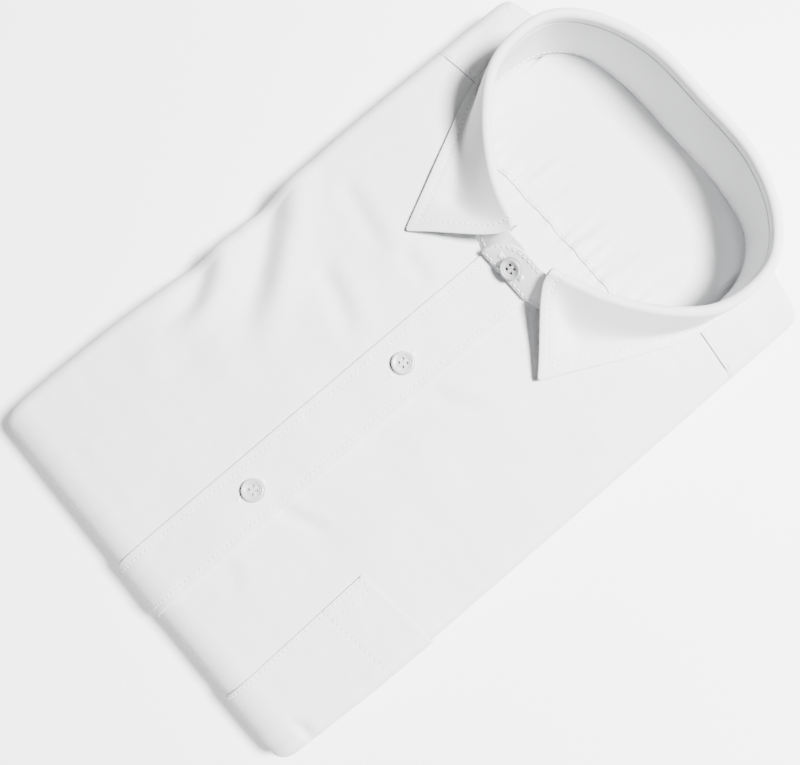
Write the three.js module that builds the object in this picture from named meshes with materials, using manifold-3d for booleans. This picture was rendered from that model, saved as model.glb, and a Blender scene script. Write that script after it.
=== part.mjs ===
// A long-sleeved dress shirt, buttoned and folded for the shelf, lying face up.
// Millimetres. +X is the wearer's left, +Y runs from the bottom fold to the collar, +Z is up.
// The cloth pieces are thin walls over one rounded stack of hidden layers.
import * as THREE from 'three';
import { mergeVertices } from 'three/addons/utils/BufferGeometryUtils.js';
import Module from 'manifold-3d';

const wasm = await Module();
wasm.setup();

// ---- Driving dimensions ----
const cloth = { wall: 1.2, gap: 0.3, collarWall: 1.3 };
const shirt = { middleX: 0, middleY: 174, foldReach: 15, tailEnd: 304, stackTop: 26.5 };
const sideFold = { radius: 7, halfHeight: 7, turn: 1.85, steps: 5 };
const tail = { halfWidth: 102.5, halfHeight: 5.4 };
const placket = { halfWidth: 15.5, footFade: 13 };
const pocket = { innerEdge: 63.5, topInner: 84.5, topOuter: 89.5, foot: -38 };
const yokeSeam = { y: 282.6, drop: 4, from: 78, to: 108 };
const neckFloor = {
  z: 23.4, yokeHem: 262.5, hemArch: 1.2, archHalfWidth: 60, backFrom: 209, fallTo: 244, rise: 18,
  halfWidth: 86, backHalfWidth: 72,
};
const stand = { seat: 0.6, lapFrom: 16, lapTo: 32, lapOffset: 0.95, buttonUp: 0.42, steps: 50 };
const roll = { above: 6, radius: 1.9, steps: 46 };
const leafTuck = { left: 3.6, from: 262, to: 296 };
const stack = {
  clearance: 0.6, backClearance: 1, foldClearance: 0.9, topInset: 7.5, footInset: 4, footTop: 2.7,
  cornerInset: 1.2, fanY: 235, footEnd: 50, lowHalfWidth: 97, lowFrom: 201, headFrom: 240, headTo: 332,
  allowance: 12,
};
const flatEdge = 91;
const button = { radius: 5.7, thickness: 2.6, rim: 0.9, dish: 0.8, hole: 0.75, holePitch: 1.3 };
const placketButtons = [{ name: 'placket_button_1', y: 163.6 }, { name: 'placket_button_2', y: 71.3 }];
const colours = { shirting: 0xf4f5f6, layers: 0xe9ebed, button: 0xeceae4 };

// Half width of the folded stack on the wearer's right and left, along Y.
const sideLine = [
  { y: 0, right: 106.8, left: 103.4 },
  { y: 22, right: 107.6, left: 105.6 },
  { y: 60, right: 107.6, left: 107.2 },
  { y: 106, right: 105.7, left: 107.8 },
  { y: 136, right: 104.7, left: 108 },
  { y: 178, right: 107.1, left: 108.2 },
  { y: 224, right: 108.8, left: 108.4 },
  { y: 284, right: 108.7, left: 108.4 },
  { y: 330, right: 108.7, left: 108.4 },
];

// How far the middle of the front stands above its sides, along Y.
const crownLine = [
  { y: 0, rise: 1.8 },
  { y: 40, rise: 2.6 },
  { y: 130, rise: 3.2 },
  { y: 228, rise: 3.8 },
  { y: 285, rise: 1.6 },
  { y: 345, rise: 0.6 },
];

// Large soft folds of the fronts: troughs have a positive depth, ridges a negative one.
const folds = [
  { x0: -109, y0: 173, x1: -82, y1: 149, width: 8, depth: 2.0 },
  { x0: -82, y0: 149, x1: -56, y1: 125, width: 9, depth: 1.3 },
  { x0: -106, y0: 129, x1: -84, y1: 106, width: 6.5, depth: 1.6 },
  { x0: -104, y0: 150, x1: -72, y1: 118, width: 7, depth: -0.9 },
  { x0: -72, y0: 194, x1: -32, y1: 193, width: 7, depth: 0.7 },
  { x0: 28, y0: 168, x1: 54, y1: 186, width: 7, depth: 0.7 },
  { x0: 28, y0: 79, x1: 44, y1: 84, width: 6, depth: 0.5 },
  { x0: -110, y0: 306, x1: -98, y1: 296, width: 9, depth: 1.6 },
];

// Sections of the collar from the middle of the back to the middle of the front, on the wearer's
// left; the right side mirrors them. seam is the foot of the stand, top its roll, edge the leaf's edge.
const collarSections = [
  { seamX: 0, seamY: 337.4, topX: 0, topY: 341.4, topZ: 69, endX: 0, endY: 349.6, endZ: 1.2, lean: 0 },
  { seamX: 34, seamY: 337.2, topX: 34, topY: 340, topZ: 69, endX: 37, endY: 347.6, endZ: 1.2, lean: 0 },
  { seamX: 59, seamY: 331.3, topX: 59, topY: 330, topZ: 68.5, endX: 68, endY: 335, endZ: 1.2, lean: 0 },
  { seamX: 72, seamY: 317.5, topX: 73, topY: 316.5, topZ: 67.5, endX: 82, endY: 317, endZ: 1.3, lean: 0.1 },
  { seamX: 76, seamY: 301, topX: 76.3, topY: 302, topZ: 65.5, endX: 86, endY: 299, endZ: 1.5, lean: 0.2 },
  { seamX: 74, seamY: 281, topX: 73.3, topY: 286, topZ: 62, endX: 81.5, endY: 276, endZ: 1.8, lean: 0.35 },
  { seamX: 60, seamY: 255, topX: 58.5, topY: 269, topZ: 57.5, endX: 70, endY: 251, endZ: 2.2, lean: 0.5 },
  { seamX: 38, seamY: 238, topX: 36, topY: 254, topZ: 53.5, endX: 58, endY: 226.5, endZ: 2.8, lean: 0.65 },
  { seamX: 13, seamY: 228, topX: 12.5, topY: 245, topZ: 51, endX: 48, endY: 206, endZ: 3.2, lean: 0.75 },
];

// The lapped front ends of the stand: how far across, and what share of the height is left there.
const overBand = [
  { x: 8, height: 1 },
  { x: 3, height: 1 },
  { x: -2, height: 0.96 },
  { x: -6, height: 0.88 },
  { x: -9.5, height: 0.75 },
  { x: -12.5, height: 0.57 },
  { x: -14.6, height: 0.36 },
  { x: -15.5, height: 0.18 },
];
const underBand = [
  { x: -9, height: 1 },
  { x: -4, height: 1 },
  { x: 1, height: 0.94 },
  { x: 6, height: 0.8 },
  { x: 10, height: 0.5 },
];

// Bulges of the hidden layers up the side of the stack: height, and how far each stands in.
const layerEdges = [
  { z: 3.1, side: 12, head: 30 },
  { z: 3.8, side: 9.6, head: 27 },
  { z: 6, side: 8.2, head: 25 },
  { z: 8.4, side: 8, head: 27 },
  { z: 9.1, side: 6, head: 24 },
  { z: 9.7, side: 4, head: 17 },
  { z: 11.2, side: 2.6, head: 14 },
  { z: 12.7, side: 4, head: 16 },
  { z: 13.2, side: 4.8, head: 14 },
  { z: 13.8, side: 3.8, head: 7 },
  { z: 15.6, side: 2.6, head: 4 },
  { z: 17.4, side: 3.6, head: 5 },
  { z: 18.6, side: 3.4, head: 3 },
];

// ---- Small numeric helpers ----
const clamp = (value, low, high) => Math.min(high, Math.max(low, value));
const mix = (a, b, t) => a + (b - a) * t;
const smooth = (from, to, value) => {
  const t = clamp((value - from) / (to - from), 0, 1);
  return t * t * (3 - 2 * t);
};

// Reads a column of a table at a value of its key, eased from row to row.
function lookUp(table, key, column, value) {
  const last = table.length - 1;
  if (value <= table[0][key]) return table[0][column];
  if (value >= table[last][key]) return table[last][column];
  const next = table.findIndex((row) => row[key] >= value);
  const [a, b] = [table[next - 1], table[next]];
  return mix(a[column], b[column], smooth(a[key], b[key], value));
}

const halfWidthAt = (side, y) => lookUp(sideLine, 'y', side < 0 ? 'right' : 'left', y);

// Depth of the large folds at a place on the front, or of their wider surroundings.
function foldDepth(x, y, spread = 0, strength = (depth) => depth) {
  let depth = 0;
  for (const fold of folds) {
    const [dx, dy] = [fold.x1 - fold.x0, fold.y1 - fold.y0];
    const t = clamp(((x - fold.x0) * dx + (y - fold.y0) * dy) / (dx * dx + dy * dy), 0, 1);
    const away = Math.hypot(x - fold.x0 - t * dx, y - fold.y0 - t * dy);
    depth += strength(fold.depth) * Math.exp(-((away / (fold.width + spread)) ** 2));
  }
  return depth;
}

// Height of the smooth stack under the fronts' cloth, without and with the folds.
function stackHeight(x, y) {
  const across = clamp(x / halfWidthAt(x, y), -1, 1);
  return shirt.stackTop + lookUp(crownLine, 'y', 'rise', y) * (1 - across * across);
}
const frontBase = (x, y) => stackHeight(x, y) - foldDepth(x, y);

// Room that the hidden layers leave round each large fold.
const foldAllowance = (x, y) => foldDepth(x, y, stack.allowance, Math.abs);

// Under the stack the fronts rise a little over the placket, so that both lie flush on the floor.
function footHeight(x) {
  const rise = cloth.wall + cloth.gap;
  const edge = placket.halfWidth + cloth.gap;
  return cloth.wall + rise * (1 - smooth(edge, edge + placket.footFade, Math.abs(x)));
}

// ---- Walls ----
// Closes two matching grids of points, an outer and an inner face, into one solid wall.
function wallFromGrids(outer, inner) {
  const [rows, columns] = [outer.length, outer[0].length];
  const positions = [];
  const index = [];
  for (const grid of [outer, inner]) {
    for (const row of grid) for (const p of row) positions.push(p.x, p.y, p.z);
  }
  const at = (face, i, j) => (face * rows + i) * columns + j;
  const quad = (a, b, c, d) => index.push(a, b, c, a, c, d);
  for (let i = 0; i + 1 < rows; i++) {
    for (let j = 0; j + 1 < columns; j++) {
      quad(at(0, i, j), at(0, i, j + 1), at(0, i + 1, j + 1), at(0, i + 1, j));
      quad(at(1, i, j), at(1, i + 1, j), at(1, i + 1, j + 1), at(1, i, j + 1));
    }
    quad(at(0, i, 0), at(0, i + 1, 0), at(1, i + 1, 0), at(1, i, 0));
    quad(at(0, i, columns - 1), at(1, i, columns - 1), at(1, i + 1, columns - 1), at(0, i + 1, columns - 1));
  }
  for (let j = 0; j + 1 < columns; j++) {
    quad(at(0, 0, j), at(1, 0, j), at(1, 0, j + 1), at(0, 0, j + 1));
    quad(at(0, rows - 1, j), at(0, rows - 1, j + 1), at(1, rows - 1, j + 1), at(1, rows - 1, j));
  }
  return facingOut(positions, index);
}

// Makes a geometry whose triangles face out: a negative volume means that they all face in.
function facingOut(positions, index) {
  let volume = 0;
  const corner = (n) => new THREE.Vector3().fromArray(positions, index[n] * 3);
  for (let n = 0; n < index.length; n += 3) volume += corner(n).dot(corner(n + 1).cross(corner(n + 2)));
  if (volume < 0) index.reverse();
  const geometry = new THREE.BufferGeometry();
  geometry.setAttribute('position', new THREE.Float32BufferAttribute(positions, 3));
  geometry.setIndex(index);
  return geometry;
}

// Joins closed geometries into one solid, or cuts tools out of a solid.
function asManifold(geometry) {
  const bare = geometry.clone();
  bare.deleteAttribute('normal');
  bare.deleteAttribute('uv');
  const merged = mergeVertices(bare, 1e-4);
  const vertProperties = new Float32Array(merged.attributes.position.array);
  const triVerts = new Uint32Array(merged.index.array);
  return new wasm.Manifold(new wasm.Mesh({ numProp: 3, vertProperties, triVerts }));
}

function asGeometry(solid) {
  const mesh = solid.getMesh();
  const geometry = new THREE.BufferGeometry();
  geometry.setAttribute('position', new THREE.Float32BufferAttribute(Array.from(mesh.vertProperties), 3));
  geometry.setIndex(Array.from(mesh.triVerts));
  return geometry;
}

// ---- The map from flat cloth to the folded stack ----
// Across, a column is { x } on the flat or { turn } round the side fold, an angle from its start.
// Along, a station is mm from the start of the bottom fold: up the top if positive, and round the
// fold and then along the underside if negative. lift is the distance out from the stack.
const foldLength = Math.PI * shirt.foldReach;

function onStack(column, side, station, lift) {
  const fold = clamp(-station / foldLength, 0, 1) * Math.PI;
  const y = shirt.foldReach + Math.abs(station > 0 ? station : Math.min(station + foldLength, 0));
  const tuck = smooth(0, Math.PI, fold);
  const halfHeight = mix(sideFold.halfHeight, tail.halfHeight, tuck);
  const edge = mix(halfWidthAt(side, y), tail.halfWidth, tuck);
  let x = column.x;
  let depth = -lift;
  if (column.turn !== undefined) {
    x = side * (edge - sideFold.radius + (sideFold.radius - cloth.wall + lift) * Math.sin(column.turn));
    depth = halfHeight - (halfHeight + lift) * Math.cos(column.turn);
  } else {
    x = side * Math.min(side * column.x, edge - sideFold.radius - 1);
  }
  const top = column.turn === undefined ? frontBase(x, y) : frontBase(side * (edge - sideFold.radius), y);
  const foot = footHeight(x);
  if (fold === 0) return new THREE.Vector3(x, y, top - depth);
  if (fold === Math.PI) return new THREE.Vector3(x, y, foot + depth);
  const halfStack = (top - foot) / 2;
  const reach = shirt.foldReach - depth;
  const height = foot + halfStack + (halfStack - depth) * Math.cos(fold);
  return new THREE.Vector3(x, shirt.foldReach - reach * Math.sin(fold), height);
}

// A wall of cloth on the stack. stationsAt gives each column its own stations.
function clothOnStack(columns, side, stationsAt, lift) {
  const face = (height) => columns.map((column) => (
    stationsAt(column).map((station) => onStack(column, side, station, height))));
  return wallFromGrids(face(lift + cloth.wall), face(lift));
}

const flatColumns = (from, to, count) => Array.from({ length: count + 1 },
  (_, n) => ({ x: mix(from, to, n / count) }));
const turnColumns = () => Array.from({ length: sideFold.steps },
  (_, n) => ({ turn: (sideFold.turn * (n + 1)) / sideFold.steps }));

// Stations shared by the pieces that run over the bottom fold, ending at a place on the top.
function stationsTo(topY, steps, end = -foldLength - (shirt.tailEnd - shirt.foldReach)) {
  const under = end < -foldLength ? [end, mix(end, -foldLength, 0.5)] : [];
  const round = [];
  const turns = 7;
  for (let n = 0; n <= turns; n++) {
    const station = -foldLength * (1 - n / turns);
    if (station > end) round.push(station);
  }
  if (end >= -foldLength) round.unshift(end);
  const top = Array.from({ length: steps }, (_, n) => ((topY - shirt.foldReach) * (n + 1)) / steps);
  return [...under, ...round, ...top];
}

// ---- The neckline, shared by the fronts, the yoke and the stand ----
const bothSides = [
  ...collarSections.slice(1).reverse().map((row) => ({ ...row, side: -1 })),
  ...collarSections.map((row) => ({ ...row, side: 1 })),
];
const seamCurve = new THREE.CatmullRomCurve3(bothSides.map((row) => (
  new THREE.Vector3(row.side * row.seamX, row.seamY, 0))));
const topCurve = new THREE.CatmullRomCurve3(bothSides.map((row) => (
  new THREE.Vector3(row.side * row.topX, row.topY, row.topZ))));
// The leaf falls closer to the stand on the wearer's left.
const edgeCurve = new THREE.CatmullRomCurve3(bothSides.map((row) => {
  const tuck = row.side < 0 ? 0 : leafTuck.left * smooth(leafTuck.from, leafTuck.to, row.endY);
  return new THREE.Vector3(row.side * row.endX - (row.endX > 70 ? tuck : 0), row.endY, row.endZ);
}));
const leanAt = (t) => {
  const place = t * (bothSides.length - 1);
  const low = Math.min(Math.floor(place), bothSides.length - 2);
  return mix(bothSides[low].lean, bothSides[low + 1].lean, place - low);
};

const seamSamples = seamCurve.getPoints(400);
const middle = seamSamples.length >> 1;

// Y of the neckline's front half at a distance from the centre line.
function necklineY(x) {
  const wanted = Math.abs(x);
  const front = seamSamples.slice(middle).filter((p) => p.y < 302).reverse();
  if (wanted <= front[0].x) return front[0].y;
  const next = front.findIndex((p) => p.x >= wanted);
  if (next < 0) return Infinity;
  const [a, b] = [front[next - 1], front[next]];
  return mix(a.y, b.y, (wanted - a.x) / (b.x - a.x));
}

const yokeSeamY = (x) => yokeSeam.y - yokeSeam.drop * clamp(
  (Math.abs(x) - yokeSeam.from) / (yokeSeam.to - yokeSeam.from), 0, 1) ** 2;
const frontTopY = (x) => Math.min(necklineY(x), yokeSeamY(x)) - cloth.gap / 2;

// ---- Fronts, placket and pocket ----
function makeFront(side, innerEdge) {
  const edges = side < 0
    ? [innerEdge, 8, 0, -8, -15.8, -22, -30, -40, -50, -60, -69, -77, -84, -flatEdge]
    : [innerEdge, 22, 30, 39, 49, 59, 68, 76, 84, flatEdge];
  const columns = [...edges.map((x) => ({ x })), { turn: 0 }, ...turnColumns()];
  const turnStart = side * (halfWidthAt(side, yokeSeam.y) - sideFold.radius);
  const stationsAt = (column) => stationsTo(frontTopY(column.x ?? turnStart), 18);
  return clothOnStack(columns, side, stationsAt, 0);
}

function makePlacket() {
  const columns = flatColumns(-placket.halfWidth, placket.halfWidth, 2);
  return clothOnStack(columns, 1, () => stationsTo(collarSections.at(-1).seamY - cloth.gap / 2, 18),
    cloth.wall + cloth.gap);
}

function makePocket() {
  const columns = [...flatColumns(pocket.innerEdge, flatEdge, 3), { turn: 0 }, ...turnColumns()];
  const outer = halfWidthAt(1, pocket.topOuter);
  const stationsAt = (column) => {
    const share = clamp(((column.x ?? outer) - pocket.innerEdge) / (outer - pocket.innerEdge), 0, 1);
    return stationsTo(mix(pocket.topInner, pocket.topOuter, share), 7, pocket.foot);
  };
  return clothOnStack(columns, 1, stationsAt, cloth.wall + cloth.gap);
}

// ---- Yoke and back, seen at the shoulders and inside the neck ----
// The plan outline of the stack round its head, from one yoke seam to the other: how far across,
// as a share of the half width, and Y.
const headLine = [
  { across: 1, y: yokeSeam.y - yokeSeam.drop },
  { across: 1, y: 297 },
  { across: 1, y: 312 },
  { across: 0.997, y: 321 },
  { across: 0.98, y: 325.6 },
  { across: 0.93, y: 328 },
  { across: 0.77, y: 332.4 },
  { across: 0.55, y: 338.6 },
  { across: 0.275, y: 342.8 },
];
const headOutline = (() => {
  const place = (side) => ({ across, y }) => new THREE.Vector3(side * across * halfWidthAt(side, 300), y, 0);
  const points = [...headLine.map(place(-1)), new THREE.Vector3(0, 344, 0),
    ...headLine.map(place(1)).reverse()];
  return new THREE.CatmullRomCurve3(points);
})();

// Height of the back's inner face, lying under the fronts and showing through the neck.
function floorHeight(x, y) {
  const hidden = stackHeight(x, y) - cloth.gap - 0.3;
  return mix(hidden, Math.min(neckFloor.z, hidden), smooth(neckFloor.backFrom, neckFloor.fallTo, y));
}

// The seam between yoke and back arches a little toward the neck.
const yokeHemY = (x) => (
  neckFloor.yokeHem + neckFloor.hemArch * Math.max(0, 1 - (x / neckFloor.archHalfWidth) ** 2));

function makeYokeShoulders() {
  const stations = 34;
  const low = seamSamples.findIndex((p) => p.y >= yokeSeamY(p.x));
  const high = seamSamples.length - 1 - low;
  const outer = [];
  const inner = [];
  for (let n = 0; n <= stations; n++) {
    const t = n / stations;
    const neck = seamSamples[Math.round(mix(low, high, t))];
    const edge = headOutline.getPointAt(t);
    const tangent = headOutline.getTangentAt(t);
    const out = new THREE.Vector3(-tangent.y, tangent.x, 0).normalize();
    if (n === 0) out.set(-1, 0, 0);
    if (n === stations) out.set(1, 0, 0);
    const radius = Math.min(sideFold.radius, 0.8 * edge.distanceTo(neck));
    const start = edge.clone().addScaledVector(out, -radius);
    const seamLift = n === 0 || n === stations ? cloth.gap / 2 : 0;
    const rowAt = (lift) => {
      const row = [0, 0.35, 0.7, 1].map((share) => {
        const p = neck.clone().lerp(start, share);
        if (seamLift) p.y = yokeSeamY(p.x) + seamLift;
        return new THREE.Vector3(p.x, p.y, frontBase(p.x, p.y) + lift);
      });
      const base = frontBase(start.x, start.y);
      for (const { turn } of turnColumns()) {
        const p = start.clone().addScaledVector(out, (radius - cloth.wall + lift) * Math.sin(turn));
        if (seamLift) p.y = row.at(-1).y;
        const depth = sideFold.halfHeight - (sideFold.halfHeight + lift) * Math.cos(turn);
        row.push(new THREE.Vector3(p.x, p.y, base - depth));
      }
      return row;
    };
    outer.push(rowAt(cloth.wall));
    inner.push(rowAt(0));
  }
  return wallFromGrids(outer, inner);
}

// The yoke inside the neck: it lies low, and rises at the back to meet the neck seam.
function makeYokeFloor() {
  const wide = neckFloor.halfWidth;
  const xs = [-wide, -76, -68, -58, -45, -30, -15, 0, 15, 30, 45, 58, 68, 76, wide];
  const rows = 9;
  const backEdge = (x) => {
    const back = seamSamples.slice(0, middle + 1).filter((p) => p.y > 301);
    const hit = back.find((p) => p.x >= -Math.abs(x));
    return Math.abs(x) < neckFloor.backHalfWidth && hit ? hit.y + 2 : 317;
  };
  const face = (lift) => xs.map((x) => Array.from({ length: rows + 1 }, (_, n) => {
    const y = mix(yokeHemY(x), backEdge(x), 1 - (1 - n / rows) ** 1.5);
    const isBack = Math.abs(x) < neckFloor.backHalfWidth;
    const reach = isBack ? smooth(backEdge(x) - neckFloor.rise, backEdge(x) - 2.5, y) : 0;
    const floor = floorHeight(x, y) - cloth.wall;
    return new THREE.Vector3(x, y, mix(floor, frontBase(x, y) - 0.3, reach) + lift);
  }));
  return wallFromGrids(face(cloth.wall), face(0));
}

function makeYoke() {
  return asGeometry(asManifold(makeYokeShoulders()).add(asManifold(makeYokeFloor())));
}

function makeBackPanel() {
  const wide = neckFloor.halfWidth;
  const xs = [-wide, -76, -60, -45, -30, -15, 0, 15, 30, 45, 60, 76, wide];
  const rows = 6;
  const face = (lift) => xs.map((x) => Array.from({ length: rows + 1 }, (_, n) => {
    const y = mix(neckFloor.backFrom, yokeHemY(x) - cloth.gap, n / rows);
    return new THREE.Vector3(x, y, floorHeight(x, y) - cloth.wall + lift);
  }));
  return wallFromGrids(face(cloth.wall), face(0));
}

// ---- The hidden layers: sleeves, turned-in sides and folded-under tail ----
// Places down the stack's side, under the fronts' side fold: share of the height, and inset.
const underFold = [
  { share: 0.3, inset: 3.4 },
  { share: 0.6, inset: 3.7 },
  { share: 0.84, inset: 5 },
];

function layersTop(x, y) {
  const front = stackHeight(x, y) - stack.clearance - foldAllowance(x, y);
  const low = Math.min(front, floorHeight(x, y) - cloth.wall - stack.backClearance);
  return Math.abs(x) < stack.lowHalfWidth && y > stack.lowFrom ? low : front;
}

// One ring of the stack's rim at a level: side and head are insets from the outline.
function rimRing(border, heightOf, side, head) {
  return border.map(({ top, edge, foot, near }) => {
    const z = heightOf(top);
    const p = top.clone().lerp(edge, 1 - (side + stack.footInset * near) / stack.topInset);
    if (foot) {
      const half = (stackHeight(top.x, shirt.foldReach) - stack.footTop) / 2;
      const level = clamp((z - stack.footTop - half) / (half - stack.foldClearance), -1, 1);
      const reach = shirt.foldReach - stack.foldClearance - stack.cornerInset * near;
      p.y = shirt.foldReach - reach * Math.sqrt(1 - level * level);
    }
    p.y -= head * smooth(stack.headFrom, stack.headTo, p.y);
    return new THREE.Vector3(p.x, p.y, z);
  });
}

function makeFoldedLayers() {
  const half = [0.22, 0.44, 0.64, 0.8, 0.89, 1];
  const across = [...half.map((u) => -u).reverse(), 0, ...half];
  const along = [15, 36, 62, 88, 112, 136, 160, 184, 197, 206, 215, 224, 233, 246, 262, 282, 300, 316];
  const headSamples = headOutline.getPoints(200);
  const headY = (x) => headSamples.find((p) => p.x >= x && p.y > 320).y;
  const topPoint = (u, y) => {
    const x = u * (halfWidthAt(u, y) - stack.topInset);
    return new THREE.Vector3(x, y, layersTop(x, y));
  };
  const grid = along.map((y) => across.map((u) => topPoint(u, y)));
  const headHalfWidth = halfWidthAt(1, 300) - stack.topInset;
  grid.push(across.map((u) => topPoint(u, headY(u * headHalfWidth) - stack.topInset)));
  const [last, wide] = [grid.length - 1, across.length - 1];

  // The grid's border, counter-clockwise from the foot's right corner, with its outline place.
  const border = [];
  const addBorder = (i, j) => {
    const top = grid[i][j];
    const side = across[j];
    const isSide = j === 0 || j === wide;
    const edge = new THREE.Vector3(top.x, top.y, 0);
    if (isSide) edge.x = Math.sign(side) * halfWidthAt(side, top.y) * (i === last ? 0.985 : 1);
    if (i === last) edge.y = top.y + (isSide ? 4.5 : stack.topInset);
    const foot = i === 0;
    const near = isSide ? 1 - smooth(shirt.foldReach, stack.footEnd, top.y) : 0;
    border.push({ top, edge, foot, near, i, j });
  };
  for (let j = 0; j <= wide; j++) addBorder(0, j);
  for (let i = 1; i <= last; i++) addBorder(i, wide);
  for (let j = wide - 1; j >= 0; j--) addBorder(last, j);
  for (let i = last - 1; i >= 1; i--) addBorder(i, 0);

  const highest = layerEdges.at(-1).z;
  const rings = [
    ...layerEdges.map(({ z, side, head }) => rimRing(border, () => z, side, head)),
    ...underFold.map(({ share, inset }) => (
      rimRing(border, (top) => mix(highest, top.z, share), inset, layerEdges.at(-1).head * (1 - share)))),
  ];
  const positions = [];
  const index = [];
  for (const ring of rings) for (const p of ring) positions.push(p.x, p.y, p.z);
  const gridStart = positions.length / 3;
  for (const row of grid) for (const p of row) positions.push(p.x, p.y, p.z);
  const around = border.length;
  const onRing = (r, n) => (r < rings.length ? r * around + (n % around)
    : gridStart + border[n % around].i * across.length + border[n % around].j);
  for (let r = 0; r < rings.length; r++) {
    for (let n = 0; n < around; n++) {
      const [a, b, c, d] = [onRing(r, n), onRing(r, n + 1), onRing(r + 1, n + 1), onRing(r + 1, n)];
      index.push(a, b, c, a, c, d);
    }
  }
  for (let i = 0; i < last; i++) {
    for (let j = 0; j < wide; j++) {
      const a = gridStart + i * across.length + j;
      const b = a + across.length;
      index.push(a, a + 1, b + 1, a, b + 1, b);
    }
  }
  const centre = positions.length / 3;
  positions.push(0, stack.fanY, layerEdges[0].z);
  for (let n = 0; n < around; n++) index.push(centre, onRing(0, n + 1), onRing(0, n));
  return facingOut(positions, index);
}

// ---- Collar ----
// Height of the cloth that the collar's foot stands on: a front or the yoke, or the placket.
function panelTop(x, y) {
  const overPlacket = 1 - smooth(placket.halfWidth, placket.halfWidth + 4, Math.abs(x));
  return frontBase(x, y) + cloth.wall + (cloth.wall + cloth.gap) * overPlacket * (y < 240 ? 1 : 0);
}

// A section of the collar: its foot, the way up its stand and the way out of it.
function collarSection(t) {
  const foot = seamCurve.getPoint(t);
  foot.z = panelTop(foot.x, foot.y) + stand.seat;
  const top = topCurve.getPoint(t);
  const up = top.clone().sub(foot);
  const height = up.length() - roll.above;
  up.normalize();
  const along = topCurve.getTangent(t).add(seamCurve.getTangent(t)).normalize();
  const out = up.clone().cross(along).normalize();
  // The two front ends part, so that the wearer's left end can lap over the right one.
  const lap = foot.y < 260 ? 1 - smooth(stand.lapFrom, stand.lapTo, Math.abs(foot.x)) : 0;
  foot.addScaledVector(out, Math.sign(foot.x) * lap * stand.lapOffset);
  return { foot, up, out, height };
}

// A band end, carried on straight from the last section of the stand across the centre line.
function bandSection(end, x, share) {
  const last = collarSection(end > 0 ? 1 : 0);
  const foot = new THREE.Vector3(x, last.foot.y, last.foot.z);
  const up = new THREE.Vector3(0, last.up.y, last.up.z).normalize();
  const out = up.clone().cross(new THREE.Vector3(-1, 0, 0));
  return { foot, up, out, height: last.height * share };
}

function standSections() {
  const main = Array.from({ length: stand.steps + 1 }, (_, n) => collarSection(n / stand.steps));
  const under = underBand.map(({ x, height }) => bandSection(-1, x, height)).reverse();
  const over = overBand.map(({ x, height }) => bandSection(1, x, height));
  return [...under, ...main, ...over];
}

function makeStand() {
  const shares = [0, 0.5, 1];
  const face = (depth) => standSections().map(({ foot, up, out, height }) => (
    shares.map((share) => foot.clone().addScaledVector(up, height * share).addScaledVector(out, depth))));
  return wallFromGrids(face(cloth.collarWall), face(0));
}

// The leaf rises from the stand, turns over its roll and falls outside to its edge.
function makeLeaf() {
  const { steps } = roll;
  const turns = [0.25, 0.5, 0.75, 1];
  const fallShares = [0.14, 0.3, 0.5, 0.75, 1];
  const grid = Array.from({ length: steps + 1 }, (_, n) => {
    const t = n / steps;
    const { foot, up, out, height } = collarSection(t);
    const half = cloth.collarWall / 2;
    const start = foot.clone().addScaledVector(up, height + cloth.gap).addScaledVector(out, half);
    const bend = start.clone().addScaledVector(up, roll.above - cloth.gap - roll.radius - half);
    const centre = bend.clone().addScaledVector(out, roll.radius);
    const edge = edgeCurve.getPoint(t);
    edge.z = panelTop(edge.x, edge.y) + edge.z + half;
    const points = [start, bend];
    for (const turn of turns) {
      points.push(centre.clone()
        .addScaledVector(out, -roll.radius * Math.cos(turn * Math.PI))
        .addScaledVector(up, roll.radius * Math.sin(turn * Math.PI)));
    }
    const from = points.at(-1);
    const length = from.distanceTo(edge);
    const inward = new THREE.Vector3(from.x - edge.x, from.y - edge.y, 0).normalize();
    const settle = inward.multiplyScalar(leanAt(t)).add(new THREE.Vector3(0, 0, 1 - leanAt(t)));
    const fall = new THREE.CubicBezierCurve3(from,
      from.clone().addScaledVector(up, -0.35 * length),
      edge.clone().addScaledVector(settle.normalize(), 0.4 * length), edge);
    for (const share of fallShares) points.push(fall.getPoint(share));
    return points;
  });
  return thicken(grid, cloth.collarWall);
}

// Gives a middle surface its thickness, half to each side.
function thicken(grid, thickness) {
  const [rows, columns] = [grid.length, grid[0].length];
  const face = (lift) => grid.map((row, i) => row.map((p, j) => {
    const along = grid[Math.min(i + 1, rows - 1)][j].clone().sub(grid[Math.max(i - 1, 0)][j]);
    const down = row[Math.min(j + 1, columns - 1)].clone().sub(row[Math.max(j - 1, 0)]);
    return p.clone().addScaledVector(along.cross(down).normalize(), lift);
  }));
  return wallFromGrids(face(thickness / 2), face(-thickness / 2));
}

// ---- Buttons ----
// A button lies on its back at the origin, facing +Z.
function makeButton() {
  const { radius, thickness, rim, dish } = button;
  const profile = [
    [0, 0], [radius - 0.9, 0], [radius, 0.8], [radius, thickness - 0.5], [radius - 0.4, thickness],
    [radius - rim, thickness], [radius - rim - 0.7, thickness - dish], [0, thickness - dish],
  ].map(([x, y]) => new THREE.Vector2(x, y));
  let solid = asManifold(new THREE.LatheGeometry(profile, 20).rotateX(Math.PI / 2));
  for (const [sx, sy] of [[-1, -1], [-1, 1], [1, -1], [1, 1]]) {
    const drill = new THREE.CylinderGeometry(button.hole, button.hole, 3 * thickness, 6);
    drill.rotateX(Math.PI / 2).translate(sx * button.holePitch, sy * button.holePitch, 0);
    solid = solid.subtract(asManifold(drill));
  }
  return asGeometry(solid);
}

// ---- The garment ----
const garment = new THREE.Group();

function addPiece(name, geometry, colour, roughness) {
  const material = new THREE.MeshStandardMaterial({ color: colour, roughness, metalness: 0 });
  const piece = new THREE.Mesh(geometry, material);
  piece.name = name;
  garment.add(piece);
  return piece;
}

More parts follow.
